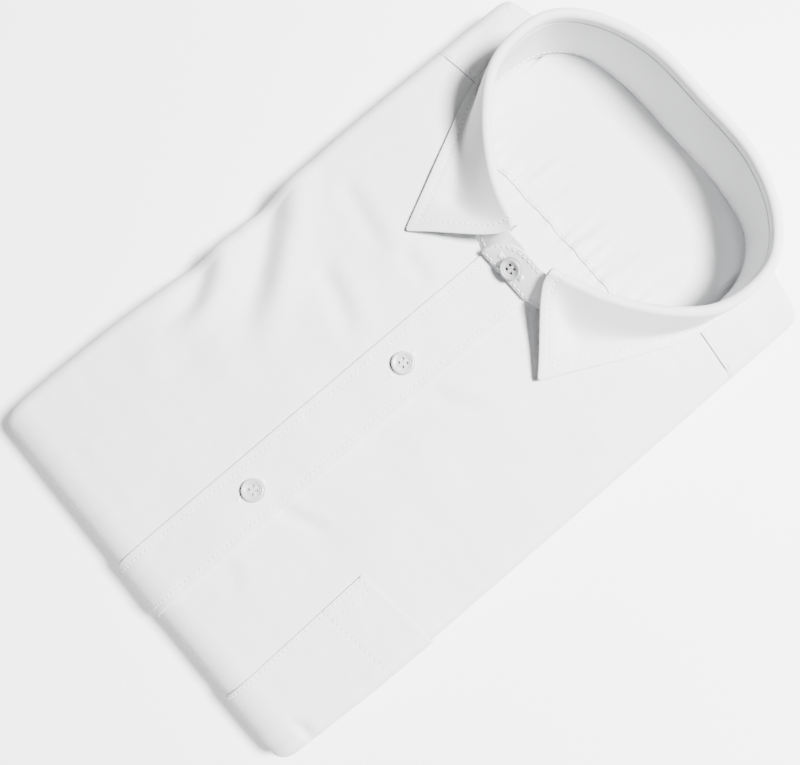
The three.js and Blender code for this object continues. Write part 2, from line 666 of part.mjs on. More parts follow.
addPiece('folded_layers', makeFoldedLayers(), colours.layers, 0.9);
addPiece('back_panel', makeBackPanel(), colours.shirting, 0.85);
addPiece('yoke', makeYoke(), colours.shirting, 0.85);
addPiece('right_front', makeFront(-1, placket.halfWidth - cloth.gap / 2), colours.shirting, 0.85);
addPiece('left_front', makeFront(1, placket.halfWidth + cloth.gap / 2), colours.shirting, 0.85);
addPiece('placket', makePlacket(), colours.shirting, 0.85);
addPiece('chest_pocket', makePocket(), colours.shirting, 0.85);
addPiece('collar_stand', makeStand(), colours.shirting, 0.8);
addPiece('collar_leaf', makeLeaf(), colours.shirting, 0.8);

for (const { name, y } of placketButtons) {
  const piece = addPiece(name, makeButton(), colours.button, 0.25);
  piece.position.set(0, y, panelTop(0, y) + cloth.gap);
}

const standButton = addPiece('stand_button', makeButton(), colours.button, 0.25);
{
  const { foot, up, out, height } = bandSection(1, 0, 1);
  const lift = cloth.collarWall + cloth.gap;
  standButton.position.copy(foot).addScaledVector(up, height * stand.buttonUp).addScaledVector(out, lift);
  standButton.quaternion.setFromUnitVectors(new THREE.Vector3(0, 0, 1), out);
}

// The origin lies on the floor under the middle of the folded shirt.
garment.position.set(-shirt.middleX, -shirt.middleY, 0);
const shirtPart = new THREE.Group();
shirtPart.add(garment);

export default shirtPart;
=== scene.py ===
import math

import bmesh
import bpy
import numpy as np
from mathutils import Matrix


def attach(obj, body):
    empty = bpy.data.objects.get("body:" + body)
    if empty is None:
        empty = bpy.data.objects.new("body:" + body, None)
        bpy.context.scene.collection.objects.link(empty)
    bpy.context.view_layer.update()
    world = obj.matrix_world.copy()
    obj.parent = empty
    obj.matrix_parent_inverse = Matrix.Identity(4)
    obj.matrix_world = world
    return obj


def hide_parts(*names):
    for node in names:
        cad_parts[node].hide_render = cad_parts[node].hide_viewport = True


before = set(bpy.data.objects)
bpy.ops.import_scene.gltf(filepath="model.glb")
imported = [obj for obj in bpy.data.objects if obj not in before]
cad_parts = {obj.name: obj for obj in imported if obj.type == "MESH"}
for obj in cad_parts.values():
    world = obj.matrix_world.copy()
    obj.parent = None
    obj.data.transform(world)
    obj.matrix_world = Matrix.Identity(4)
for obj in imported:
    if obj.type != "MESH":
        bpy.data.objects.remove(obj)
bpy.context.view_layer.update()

# The shirt is drafted in millimetres: x to the wearer's left, y from the bottom fold to the
# collar, z up from the floor. Its middle lies 174 mm up the pattern from the bottom fold.
pattern = {"middleY": 174.0, "scale": 0.001}


def toFrame(points):
    # pattern millimetres to the frame's metres: take the middle off y and scale down
    return (points - np.array([0, pattern["middleY"], 0])) * pattern["scale"]


# camera

camera = {
    "place": (46.32, 120.83, 502.99),
    "looks": (-0.08486, 0.07557, -0.99352),
    "up": (-0.7546, 0.6463, 0.1136),
    "lens": 45,
    "sensor": 36,
}


def addCamera(spec):
    # the camera's axes: back is against the view, right is up x back, and up completes them
    back = -np.array(spec["looks"]) / np.linalg.norm(spec["looks"])
    right = np.cross(spec["up"], back)
    right /= np.linalg.norm(right)
    turn = np.eye(4)
    turn[:3, 0], turn[:3, 1], turn[:3, 2] = right, np.cross(back, right), back
    turn[:3, 3] = toFrame(np.array(spec["place"]))
    data = bpy.data.cameras.new("camera")
    data.lens, data.sensor_width = spec["lens"], spec["sensor"]
    data.clip_start, data.clip_end = 0.01, 20
    made = bpy.data.objects.new("camera", data)
    bpy.context.collection.objects.link(made)
    made.matrix_world = turn.T.tolist()
    bpy.context.scene.camera = made
    return made


addCamera(camera)
print("camera set")

# small curves and tables


def smooth(low, high, value):
    # 3t^2 - 2t^3, with t the share of the way from low to high
    t = np.clip((value - low) / (high - low), 0, 1)
    return t * t * (3 - 2 * t)


def mix(a, b, t):
    # a at t = 0 and b at t = 1, with a straight line between
    return a + (b - a) * t


def eased(table, at):
    # between two rows (key, value) the value eases over by 3t^2 - 2t^3
    keys, values = np.array(table, float).T
    i = np.clip(np.searchsorted(keys, at) - 1, 0, len(keys) - 2)
    t = np.clip((at - keys[i]) / (keys[i + 1] - keys[i]), 0, 1)
    return values[i] + (values[i + 1] - values[i]) * t * t * (3 - 2 * t)


def throughPoints(points, t):
    # a centripetal Catmull-Rom curve: each stretch is a cubic whose end slopes come from the
    # neighbouring points, weighted by the square root of their distances
    points = np.array(points, float)
    ends = [2 * points[0] - points[1], *points, 2 * points[-1] - points[-2]]
    p = np.array(ends)
    place = np.clip(np.asarray(t, float), 0, 1) * (len(points) - 1)
    i = np.minimum(place.astype(int), len(points) - 2)
    w = (place - i)[..., None]
    gap = np.sqrt(np.linalg.norm(np.diff(p, axis=0), axis=1))[:, None]
    a, b, c = gap[i], gap[i + 1], gap[i + 2]
    p0, p1, p2, p3 = p[i], p[i + 1], p[i + 2], p[i + 3]
    m1 = ((p1 - p0) / a - (p2 - p0) / (a + b) + (p2 - p1) / b) * b
    m2 = ((p2 - p1) / b - (p3 - p1) / (b + c) + (p3 - p2) / c) * b
    return (
        p1
        + m1 * w
        + (3 * (p2 - p1) - 2 * m1 - m2) * w**2
        + (2 * (p1 - p2) + m1 + m2) * w**3
    )


def unit(v):
    # each vector over its own length
    return v / np.maximum(np.linalg.norm(v, axis=-1, keepdims=True), 1e-9)


def runAlong(line):
    # the way come along a line at each of its points: the sum of its steps so far
    return np.concatenate([[0], np.cumsum(np.linalg.norm(np.diff(line, axis=0), axis=1))])


def closeAtEnds(count, length, near=(0.05, 0.16, 0.34, 0.62, 1.0)):
    # even steps from 0 to length, with finer ones near both ends where an edge is rounded
    near = np.array(near)
    inside = np.linspace(near[-1], length - near[-1], count)
    return np.concatenate([[0], near[:-1], inside, (length - near[:-1])[::-1], [length]])


def waves(u, v, seed, count, shortest, longest):
    # a sum of sine waves in mixed directions, each as high as it is long, scaled to about 1
    dice = np.random.default_rng(seed)
    angle = dice.uniform(0, math.pi, count)
    length = np.exp(dice.uniform(math.log(shortest), math.log(longest), count))
    phase = dice.uniform(0, 2 * math.pi, count)
    total, weight = 0, 0
    for a, l, p in zip(angle, length, phase):
        total = total + l * np.sin(2 * math.pi * (u * math.cos(a) + v * math.sin(a)) / l + p)
        weight += l * l
    return total / math.sqrt(weight / 2)


# meshes


def newObject(name, points, faces, weave=None, seam=None):
    # points in pattern millimetres become one mesh at the origin; weave is each point's place
    # on the flat cloth, and seam its distance from a row of stitches and the count along it
    mesh = bpy.data.meshes.new(name)
    points = toFrame(np.asarray(points, float))
    faces = np.asarray(faces, np.int32)
    mesh.vertices.add(len(points))
    mesh.vertices.foreach_set("co", points.ravel())
    corners = faces.shape[1]
    mesh.loops.add(faces.size)
    mesh.loops.foreach_set("vertex_index", faces.ravel())
    mesh.polygons.add(len(faces))
    mesh.polygons.foreach_set("loop_start", np.arange(0, faces.size, corners, dtype=np.int32))
    mesh.polygons.foreach_set("use_smooth", np.ones(len(faces), bool))
    mesh.update(calc_edges=True)
    for label, values in (("weave", weave), ("seam", seam)):
        if values is not None:
            layer = mesh.attributes.new(label, "FLOAT_VECTOR", "POINT")
            layer.data.foreach_set("vector", np.asarray(values, np.float32).ravel())
    mesh.validate()
    made = bpy.data.objects.new(name, mesh)
    bpy.context.collection.objects.link(made)
    return made


def gridFaces(rows, columns, start=0, around=False):
    # a quad for each cell of a grid of points numbered row by row
    i, j = np.meshgrid(np.arange(rows - 1), np.arange(columns - (not around)), indexing="ij")
    k = (j + 1) % columns
    a, b, c, d = i * columns + j, i * columns + k, (i + 1) * columns + k, (i + 1) * columns + j
    return np.stack([a, b, c, d], -1).reshape(-1, 4) + start


def gridNormals(grid):
    # the cross product of the steps to the neighbours on both sides
    along = np.gradient(grid, axis=0)
    across = np.gradient(grid, axis=1)
    return unit(np.cross(along, across))


def edgeDistance(grid):
    # how far each point is from the nearest edge of the grid, along its row or column
    rows = np.linalg.norm(np.diff(grid, axis=0), axis=2)
    columns = np.linalg.norm(np.diff(grid, axis=1), axis=2)
    down = np.concatenate([np.zeros((1, grid.shape[1])), np.cumsum(rows, 0)])
    right = np.concatenate([np.zeros((grid.shape[0], 1)), np.cumsum(columns, 1)], axis=1)
    return np.minimum(np.minimum(down, down[-1] - down), np.minimum(right, right[:, -1:] - right))


# distances that mean no row of stitches: on cloth that has none, and past reach of any
farOff = {"unsewn": 50.0, "reach": 1.6, "beyond": 200.0}


def addCloth(name, middle, weave, thickness, seam=None):
    # a wall of cloth: both faces stand off a middle surface by half the thickness, falling to
    # nothing at its edges along a quarter circle, so each edge is round
    normal = gridNormals(middle)
    half = thickness / 2
    share = np.clip(edgeDistance(middle) / half, 0, 1)
    offset = half * np.sqrt(np.clip(1 - (1 - share) ** 2, 0, 1))[..., None]
    rows, columns = middle.shape[:2]
    count = rows * columns
    points = np.concatenate([middle + normal * offset, middle - normal * offset]).reshape(-1, 3)
    # the inner face shares the points of the rim with the outer one
    index = np.arange(count).reshape(rows, columns)
    back = index + count
    back[0], back[-1], back[:, 0], back[:, -1] = index[0], index[-1], index[:, 0], index[:, -1]
    front = gridFaces(rows, columns)
    faces = np.concatenate([front[:, ::-1], back.ravel()[front]])
    used, faces = np.unique(faces, return_inverse=True)
    flat, sewn = np.zeros((2 * count, 3)), np.full((2 * count, 3), farOff["unsewn"])
    flat[:, :2] = np.concatenate([weave.reshape(-1, 2)] * 2)
    if seam is not None:
        sewn[:, :2] = np.concatenate([seam.reshape(-1, 2)] * 2)
    return newObject(name, points[used], faces.reshape(-1, 4), flat[used], sewn[used])


# rows of stitches

thread = {"length": 2.0, "gap": 0.8, "radius": 0.24}


def outerFace(middle, thickness, flip=1):
    # the face of a wall of cloth, and the way out of it
    normal = gridNormals(middle) * flip
    return middle + normal * thickness / 2, normal


def atPlaces(grid, i, j):
    # values of a grid at fractional rows and columns, by straight mixing of the four neighbours
    i, j = np.clip(i, 0, grid.shape[0] - 1.001), np.clip(j, 0, grid.shape[1] - 1.001)
    a, b = i.astype(int), j.astype(int)
    u, v = (i - a)[:, None], (j - b)[:, None]
    top = grid[a, b] * (1 - v) + grid[a, b + 1] * v
    low = grid[a + 1, b] * (1 - v) + grid[a + 1, b + 1] * v
    return top * (1 - u) + low * u


def crossing(values, wanted):
    # the fractional index at which each row of values first reaches the wanted value
    above = values >= wanted
    j = np.clip(np.argmax(above, axis=1), 1, values.shape[1] - 1)
    rows = np.arange(len(values))
    low, high = values[rows, j - 1], values[rows, j]
    return j - 1 + np.clip((wanted - low) / np.maximum(high - low, 1e-9), 0, 1)


def layStitches(line, normals):
    # equal stitches along a line on the cloth, each a six-sided bar through five places whose
    # ends dip in; also the count of stitches at each point of the line
    run = runAlong(line)
    count = max(1, int(run[-1] / (thread["length"] + thread["gap"])))
    s = np.array([-0.5, -0.36, 0, 0.36, 0.5]) * thread["length"]
    place = ((np.arange(count) + 0.5) * run[-1] / count)[:, None] + s[None, :]
    p = np.stack([np.interp(place, run, line[:, k]) for k in range(3)], -1)
    n = unit(np.stack([np.interp(place, run, normals[:, k]) for k in range(3)], -1))
    along = unit(np.gradient(p, axis=1))
    aside = unit(np.cross(n, along))
    lift = thread["radius"] * np.array([-0.9, 0.3, 0.7, 0.3, -0.9])
    thick = thread["radius"] * np.array([0.5, 1, 1.12, 1, 0.5])
    a = np.linspace(0, 2 * math.pi, 6, endpoint=False)
    ring = aside[:, :, None] * np.cos(a)[:, None] + n[:, :, None] * np.sin(a)[:, None]
    points = (p + n * lift[None, :, None])[:, :, None] + ring * thick[None, :, None, None]
    one = gridFaces(5, 6, around=True)
    ends = np.array([[0, 1, 2, 3], [0, 3, 4, 5]])
    one = np.concatenate([one, ends, ends[:, ::-1] + 24])
    faces = (one[None] + (np.arange(count) * 30)[:, None, None]).reshape(-1, 4)
    return points.reshape(-1, 3), faces, run / run[-1] * count


def sewRow(middle, thickness, i, j, flip=1):
    # a row over a cloth's face through fractional rows and columns of its grid
    face, normal = outerFace(middle, thickness, flip)
    return layStitches(atPlaces(face, i, j), unit(atPlaces(normal, i, j)))


def merged(parts):
    # several meshes given as points and faces made one: each one's faces are numbered on from
    # the points before it
    starts = np.cumsum([0] + [len(part[0]) for part in parts[:-1]])
    faces = [part[1] + start for part, start in zip(parts, starts)]
    return np.concatenate([part[0] for part in parts]), np.concatenate(faces)


def joined(name, parts):
    # one object made of several meshes
    return newObject(name, *merged(parts))


def nearestRow(shape, rows):
    # of several rows of stitches, each with its distance and its count at every point of the
    # cloth, the nearest one
    best, number = np.full(shape, farOff["unsewn"]), np.zeros(shape)
    for away, count in rows:
        away, count = np.broadcast_to(away, shape), np.broadcast_to(count, shape)
        near = np.abs(away) < np.abs(best)
        best, number = np.where(near, away, best), np.where(near, count, number)
    # away from the rows the distance is set far off, so none is seen where two rows change over
    best = np.where(np.abs(best) > farOff["reach"], np.sign(best) * farOff["beyond"], best)
    return np.stack([best, number], -1)


# the folded pack: the same map as the solids have, from the flat cloth to the stack

sideLine = {
    "y": [0, 22, 60, 106, 136, 178, 224, 330],
    -1: [106.8, 107.6, 107.6, 105.7, 104.7, 107.1, 108.8, 108.7],
    1: [103.4, 105.6, 107.2, 107.8, 108.0, 108.2, 108.4, 108.4],
}
crownLine = [(0, 1.8), (40, 2.6), (130, 3.2), (228, 3.8), (285, 1.6), (345, 0.6)]
pack = {
    "stackTop": 26.5,
    "foldReach": 15.0,
    "tailEnd": 304.0,
    "tailHalfWidth": 102.5,
    "tailHalfHeight": 5.4,
    "foldRadius": 7.0,
    "wall": 1.2,
    "turn": 1.85,
    "placketHalf": 15.5,
    "channelRise": 1.5,
    "channelFade": 13.0,
}
pack["foldLength"] = math.pi * pack["foldReach"]


def halfWidth(side, y):
    # the outline's distance from the middle, eased between the rows of its side
    return eased(list(zip(sideLine["y"], sideLine[side])), y)


def stackHeight(x, y):
    # a low crown: its rise falls with the square of the distance from the middle
    wide = np.where(x < 0, halfWidth(-1, y), halfWidth(1, y))
    return pack["stackTop"] + eased(crownLine, y) * (1 - np.clip(x / wide, -1, 1) ** 2)


# Creases of the fronts, one a row: the points it runs through, the width and the
# depth of its trough, and the softer ridge beside it as a share of the depth.
creases = [
    ([(-132, 196), (-116, 179), (-99, 162), (-83, 143), (-69, 125), (-50, 101)], 8, 6.2, 0.45),
    ([(-128, 146), (-112, 132), (-97, 116), (-90, 101), (-90, 80)], 6.5, 4.4, 0.5),
    ([(-81, 103), (-67, 92), (-50, 77)], 9, 0.7, 0.3),
    ([(-119, 145), (-106, 143), (-97, 139)], 4.5, 1.6, 0.4),
    ([(-91, 200), (-74, 197), (-56, 193), (-39, 190)], 5.5, 1.7, 0.4),
    ([(-44, 198), (-30, 198), (-17, 197)], 5, 1.2, 0.4),
    ([(-65, 164), (-49, 161), (-18, 151)], 6, 2.4, 0.4),
    ([(-84, 92), (-72, 84), (-60, 82)], 9, 0.9, 0.4),
    ([(-98, 70), (-84, 62), (-66, 60)], 9, 0.35, 0.4),
    ([(-44, 60), (-30, 40), (-24, 18)], 8, 0.3, 0.3),
    ([(17, 162), (34, 172), (51, 184)], 5, 1.0, 0.5),
    ([(10, 72), (21, 77), (32, 82), (47, 88)], 4, 1.2, 0.5),
    ([(30, 118), (50, 124), (72, 120)], 9, 0.3, 0.3),
    ([(62, 262), (84, 263), (110, 264)], 3, 0.3, 0.6),
    ([(60, 212), (80, 196), (104, 188)], 9, 0.35, 0.4),
    ([(-112, 318), (-106, 303), (-98, 296)], 7, 1.5, 0.4),
    ([(120, 27), (108, 22), (99, 18), (89, 14)], 3.5, 2.6, 0.5),
    ([(112, 316), (104, 309), (98, 300)], 7, 0.7, 0.4),
    ([(16, 42), (24, 38), (34, 37)], 4.5, 0.8, 0.5),
]


def creaseDepth(x, y, creases=creases):
    # for each crease, a bell-shaped trough round its line less a bell beside it, fading out at
    # both of the line's ends
    total = np.zeros(np.broadcast(x, y).shape)
    for points, width, depth, ridge in creases:
        line = throughPoints(points, np.linspace(0, 1, 24))
        best = np.full(total.shape, 1e9)
        beside, share = np.zeros(total.shape), np.zeros(total.shape)
        for n in range(len(line) - 1):
            a, b = line[n], line[n + 1]
            dx, dy = b - a
            t = np.clip(((x - a[0]) * dx + (y - a[1]) * dy) / (dx * dx + dy * dy), 0, 1)
            ox, oy = x - a[0] - t * dx, y - a[1] - t * dy
            away = np.hypot(ox, oy)
            near = away < best
            best = np.where(near, away, best)
            beside = np.where(near, np.sign(dx * oy - dy * ox) * away, beside)
            share = np.where(near, (n + t) / (len(line) - 1), share)
        fade = smooth(0, 0.25, share) * smooth(0, 0.38, 1 - share)
        trough = np.exp(-((beside / width) ** 2))
        trough = trough - ridge * np.exp(-(((beside - 1.7 * width) / width) ** 2))
        total += depth * fade * trough
    return total


rumple = {"soft": 0.34, "softFrom": 24, "softTo": 80, "fine": 0.05, "fineFrom": 5, "fineTo": 16}


def clothTop(x, y):
    # the stack's crown, less the creases, with a soft and a fine rumple
    soft = rumple["soft"] * waves(x, y, 3, 14, rumple["softFrom"], rumple["softTo"])
    fine = rumple["fine"] * waves(x, y, 4, 26, rumple["fineFrom"], rumple["fineTo"])
    return stackHeight(x, y) - creaseDepth(x, y) + soft + fine


def footHeight(x):
    # underneath, the fronts rise over the placket and lie on the floor beside it
    edge = pack["placketHalf"] + 0.3
    away = smooth(edge, edge + pack["channelFade"], np.abs(x))
    return pack["wall"] + pack["channelRise"] * (1 - away)


def onStack(side, across, turn, station, lift, inner=0.0):
    # across runs from 0 at the inner edge to 1 where the side fold starts, and turn is the angle
    # round that fold. station is the way along: up the top if above 0, round the bottom fold and
    # back along the underside if below. lift is the distance out from the stack.
    across, turn, station, lift = np.broadcast_arrays(across, turn, station, lift)
    radius, wall = pack["foldRadius"], pack["wall"]
    fold = np.clip(-station / pack["foldLength"], 0, 1) * math.pi
    past = np.minimum(station + pack["foldLength"], 0)
    y = pack["foldReach"] + np.abs(np.where(station > 0, station, past))
    tuck = smooth(1.1, math.pi, fold)
    tall = mix(radius, pack["tailHalfHeight"], tuck)
    edge = mix(halfWidth(side, y), pack["tailHalfWidth"], tuck)
    flat = inner + (side * (edge - radius) - inner) * across
    x = flat + side * (radius - wall + lift) * np.sin(turn)
    depth = tall - (tall + lift) * np.cos(turn)
    top, foot = clothTop(flat, y), footHeight(flat)
    half = (top - foot) / 2
    z = foot + half + (half - depth) * np.cos(fold)
    return np.stack([x, y - (pack["foldReach"] - depth) * np.sin(fold), z], -1)


# neckline

collarRows = {
    "seamX": [0, 34, 59, 72, 76, 74, 60, 38, 13],
    "seamY": [337.4, 337.2, 331.3, 317.5, 301, 281, 255, 238, 228],
    "topX": [0, 34, 59, 73, 76.3, 73.3, 58.5, 36, 12.5],
    "topY": [341.4, 340, 330, 316.5, 302, 286, 269, 254, 245],
    "topZ": [69, 69, 68.5, 67.5, 65.5, 62, 57.5, 53.5, 51],
    "endX": [0, 37, 68, 82, 86, 81.5, 70, 58, 48],
    "endY": [349.6, 347.6, 335, 317, 299, 276, 251, 226.5, 206],
    "endZ": [1.2, 1.2, 1.2, 1.3, 1.5, 1.8, 2.2, 2.8, 3.2],
    "lean": [0, 0, 0, 0.1, 0.2, 0.35, 0.5, 0.65, 0.75],
}


def bothSides(key, mirrored):
    # the rows from the wearer's right front round the back to the left front
    row = np.array(collarRows[key], float)
    return np.concatenate([(-row if mirrored else row)[:0:-1], row])


def seamCurve(t):
    # the neck seam, a curve through its rows
    return throughPoints(np.stack([bothSides("seamX", True), bothSides("seamY", False)], -1), t)


def topCurve(t):
    # the collar's rim, a curve through its rows
    rows = [bothSides("topX", True), bothSides("topY", False), bothSides("topZ", False)]
    return throughPoints(np.stack(rows, -1), t)


leafTuck = {"left": 3.6, "from": 262, "to": 296, "pressed": 0.55}


def endCurve(t):
    # the leaf's edge; it falls closer to the stand on the wearer's left
    x, y, z = bothSides("endX", True), bothSides("endY", False), bothSides("endZ", False)
    tuck = leafTuck["left"] * smooth(leafTuck["from"], leafTuck["to"], y) * (x > 70)
    z = z * np.where(x < 0, leafTuck["pressed"], 1)
    return throughPoints(np.stack([x - tuck, y, z], -1), t)


seamLine = seamCurve(np.linspace(0, 1, 801))
seamFront = seamLine[400:][seamLine[400:, 1] < 302][::-1]
yokeSeam = {"y": 282.6, "drop": 4, "from": 78, "to": 108}


def yokeSeamY(x):
    # the yoke's front seam falls off outwards with the square of the distance
    away = np.clip((np.abs(x) - yokeSeam["from"]) / (yokeSeam["to"] - yokeSeam["from"]), 0, 1)
    return yokeSeam["y"] - yokeSeam["drop"] * away**2


def frontEndY(x):
    # the fronts end at the neck seam or the yoke seam, whichever comes first
    neck = np.interp(np.abs(x), seamFront[:, 0], seamFront[:, 1])
    neck = np.where(np.abs(x) > seamFront[-1, 0], 1e9, neck)
    return np.minimum(neck, yokeSeamY(x)) - 0.05


def panelTop(x, y):
    # the upper face of the cloth that the collar stands on
    overPlacket = (1 - smooth(15.5, 19.5, np.abs(x))) * (y < 240)
    return stackHeight(x, y) + 1.2 + 1.5 * overPlacket


# fronts

fronts = {"cloth": 0.55, "lift": 1.2, "acrossStep": 1.15, "rows": {"under": 30, "fold": 26, "top": 250}}


def stations(topEnd, rows, underEnd):
    # rows of stations for each column: under the pack, round the bottom fold and up the top
    fold = pack["foldLength"]
    under = np.linspace(underEnd, -fold, rows["under"], endpoint=False)
    turn = np.linspace(-fold, 0, rows["fold"], endpoint=False)
    top = np.linspace(0, 1, rows["top"])[None, :] * (topEnd[:, None] - pack["foldReach"])
    lead = np.concatenate([under, turn])[None, :].repeat(len(topEnd), 0)
    return np.concatenate([lead, top], axis=1)


def addFront(name, side, inner):
    # columns run from the inner edge to the side fold and round it, rows along the cloth
    wide = halfWidth(side, 200) - pack["foldRadius"] - side * inner
    flatCount = int(wide / fronts["acrossStep"])
    u = np.concatenate([[0, 0.0008, 0.002, 0.004], np.linspace(0.007, 1, flatCount), np.ones(16)])
    turn = np.concatenate([np.zeros(flatCount + 4), np.linspace(0, pack["turn"], 17)[1:]])
    endX = inner + (side * (halfWidth(side, yokeSeam["y"]) - pack["foldRadius"]) - inner) * u
    underEnd = -pack["foldLength"] - (pack["tailEnd"] - pack["foldReach"])
    along = stations(frontEndY(endX), fronts["rows"], underEnd)
    lift = fronts["lift"] - fronts["cloth"] / 2
    middle = onStack(side, u[:, None], turn[:, None], along, lift, inner)
    arc = np.abs(endX - inner)[:, None] + pack["foldRadius"] * turn[:, None]
    weave = np.stack(np.broadcast_arrays(arc, along), -1)
    return addCloth(name, middle, weave, fronts["cloth"])


rightFront = addFront("rightFront", -1, 13.0)
leftFront = addFront("leftFront", 1, 13.7)
print("fronts made")

# placket: a band on the left front, its free edge at the wearer's right

placket = {
    "cloth": 1.15,
    "lift": 2.55,
    "stitchIn": 3.9,
    "puckers": 0.16,
    "puckerLength": 11,
}


def stitchGroove(distance, depth=0.13, width=1.25):
    # a pressed line under a row of stitches: a bell-shaped dip
    return depth * np.exp(-((distance / width) ** 2))


def addPlacket():
    # a flat band over the pack's middle; it dips along both rows of stitches by a bell and
    # puckers beside them by waves that a bell fades out
    half = pack["placketHalf"]
    # columns lie on both rows of stitches and close beside them, and evenly elsewhere
    even = closeAtEnds(26, 2 * half) - half
    sewnAt = (half - placket["stitchIn"]) * np.array([-1, 1])
    beside = (sewnAt[:, None] + np.array([-0.6, 0.0, 0.6])).ravel()
    clear = np.abs(even[:, None] - beside).min(1) > 0.4
    x = np.sort(np.concatenate([even[clear], beside]))
    rows = {"under": 30, "fold": 30, "top": 300}
    underEnd = -pack["foldLength"] - (pack["tailEnd"] - pack["foldReach"])
    along = stations(np.full(len(x), 227.8), rows, underEnd)
    flatX = x[:, None]
    middle = onStack(1, 0, 0, along, placket["lift"] - placket["cloth"] / 2, flatX)
    out = onStack(1, 0, 0, along, placket["lift"] + 1, flatX) - middle
    nearStitch = half - placket["stitchIn"]
    rowGap = np.minimum(np.abs(flatX - nearStitch), np.abs(flatX + nearStitch))
    wave = waves(flatX * 0.35, along, 8, 12, 0.7 * placket["puckerLength"], 2.2 * placket["puckerLength"])
    pucker = placket["puckers"] * np.tanh(wave) * np.exp(-((rowGap / 4.0) ** 2))
    onTop = smooth(-50, -30, along)
    dip = (pucker - stitchGroove(rowGap)) * onTop
    middle = middle + unit(out) * dip[..., None]
    weave = np.stack(np.broadcast_arrays(flatX, along), -1)
    j = np.arange(middle.shape[1], dtype=float)
    rows, sewn = [], []
    for place in (-nearStitch, nearStitch):
        i = np.full(len(j), np.interp(place, x, np.arange(len(x), dtype=float)))
        sewn.append(sewRow(middle, placket["cloth"], i, j))
        rows.append((flatX - place, sewn[-1][2][None, :]))
    seam = nearestRow(middle.shape[:2], rows)
    return addCloth("placketBand", middle, weave, placket["cloth"], seam), joined("placketStitching", sewn)


placketBand, placketStitching = addPlacket()

# chest pocket

pocket = {
    "innerTop": 62.8,
    "innerFoot": 64.7,
    "leanOver": 70,
    "topInner": 84.5,
    "topOuter": 89.4,
    "foot": -38,
    "hem": 24.5,
    "hemRise": 0.22,
    "sideIn": 1.6,
    "boxWide": 7.0,
    "cloth": 0.8,
    "lift": 2.15,
}


def pocketSide(station):
    # the inner side leans outwards by a straight line from the mouth down
    y = pack["foldReach"] + np.maximum(station, 0)
    down = np.clip((pocket["topInner"] - y) / pocket["leanOver"], 0, 1)
    return mix(pocket["innerTop"], pocket["innerFoot"], down)


def addPocket():
    # columns run from the inner side to the side fold and round it, rows from the foot up to a
    # sloping mouth; the patch dips along its stitches by bells
    count = 60
    u = np.concatenate([[0, 0.0015, 0.004, 0.008], np.linspace(0.014, 1, count), np.ones(14)])
    turn = np.concatenate([np.zeros(count + 4), np.linspace(0, pack["turn"], 15)[1:]])
    reach = np.concatenate([np.zeros(count + 4), np.sin(turn[count + 4 :])])
    topEnd = mix(pocket["topInner"], pocket["topOuter"], np.clip(u * 0.9 + reach * 0.1, 0, 1))
    s = closeAtEnds(150, 1, near=(0.0006, 0.0018, 0.004, 0.008))
    along = pocket["foot"] + s[None, :] * (topEnd[:, None] - pack["foldReach"] - pocket["foot"])
    inner = pocketSide(along)
    middle = onStack(1, u[:, None], turn[:, None], along, pocket["lift"] - pocket["cloth"] / 2, inner)
    out = onStack(1, u[:, None], turn[:, None], along, pocket["lift"] + 1, inner) - middle
    fromTop = topEnd[:, None] - pack["foldReach"] - along
    fromSide = np.linalg.norm(np.cumsum(np.diff(middle, axis=0, prepend=middle[:1]), 0), axis=2)
    dip = -stitchGroove(fromTop - pocket["hem"], 0.16)
    dip = dip - stitchGroove(fromSide - pocket["sideIn"], 0.14, 0.7)
    # the hem is doubled, so it stands a little higher
    dip = dip + pocket["hemRise"] * (1 - smooth(pocket["hem"] - 0.6, pocket["hem"] + 0.6, fromTop))
    middle = middle + unit(out) * dip[..., None]
    weave = np.stack([np.broadcast_to(fromSide, along.shape), along], -1)
    # rows of stitches: under the hem, down the side, and a narrow box at the mouth's corner
    i, j = np.arange(middle.shape[0], dtype=float), np.arange(middle.shape[1], dtype=float)
    hemJ, sideI = crossing(-fromTop, -pocket["hem"]), crossing(fromSide.T, pocket["sideIn"])
    topJ, boxI = crossing(-fromTop, -pocket["sideIn"]), crossing(fromSide.T, pocket["boxWide"])
    low, across = int(hemJ[0]), int(boxI[-1]) + 1
    paths = [(i[3:], hemJ[3:]), (sideI[3:-2], j[3:-2])]
    paths += [(boxI[low:-2], j[low:-2]), (i[3:across], topJ[3:across])]
    sewn = [sewRow(middle, pocket["cloth"], *path) for path in paths]
    hemCount, sideCount, boxCount, topCount = (row[2] for row in sewn)
    counts = [np.interp(i, i[3:], hemCount)[:, None], np.interp(j, j[3:-2], sideCount)[None, :]]
    counts += [np.interp(j, j[low:-2], boxCount)[None, :], np.interp(i, i[3:across], topCount)[:, None]]
    inBox = (fromTop < pocket["hem"]) & (fromSide < pocket["boxWide"] + 0.6)
    aways = [fromTop - pocket["hem"], fromSide - pocket["sideIn"]]
    aways.append(np.where(fromTop < pocket["hem"], fromSide - pocket["boxWide"], farOff["unsewn"]))
    aways.append(np.where(inBox, fromTop - pocket["sideIn"], farOff["unsewn"]))
    seam = nearestRow(middle.shape[:2], list(zip(aways, counts)))
    return addCloth("pocketPatch", middle, weave, pocket["cloth"], seam), joined("pocketStitching", sewn)


pocketPatch, pocketStitching = addPocket()
print("placket and pocket made")

# yoke at the shoulders, and the yoke and back inside the neck

# the outline round the head, from the side to the middle: the share of the half width, and y
headShares = [1, 1, 1, 0.997, 0.98, 0.93, 0.77, 0.55, 0.275]
headYs = [278.6, 297, 312, 321, 325.6, 328, 332.4, 338.6, 342.8]
headTop = (0, 344)


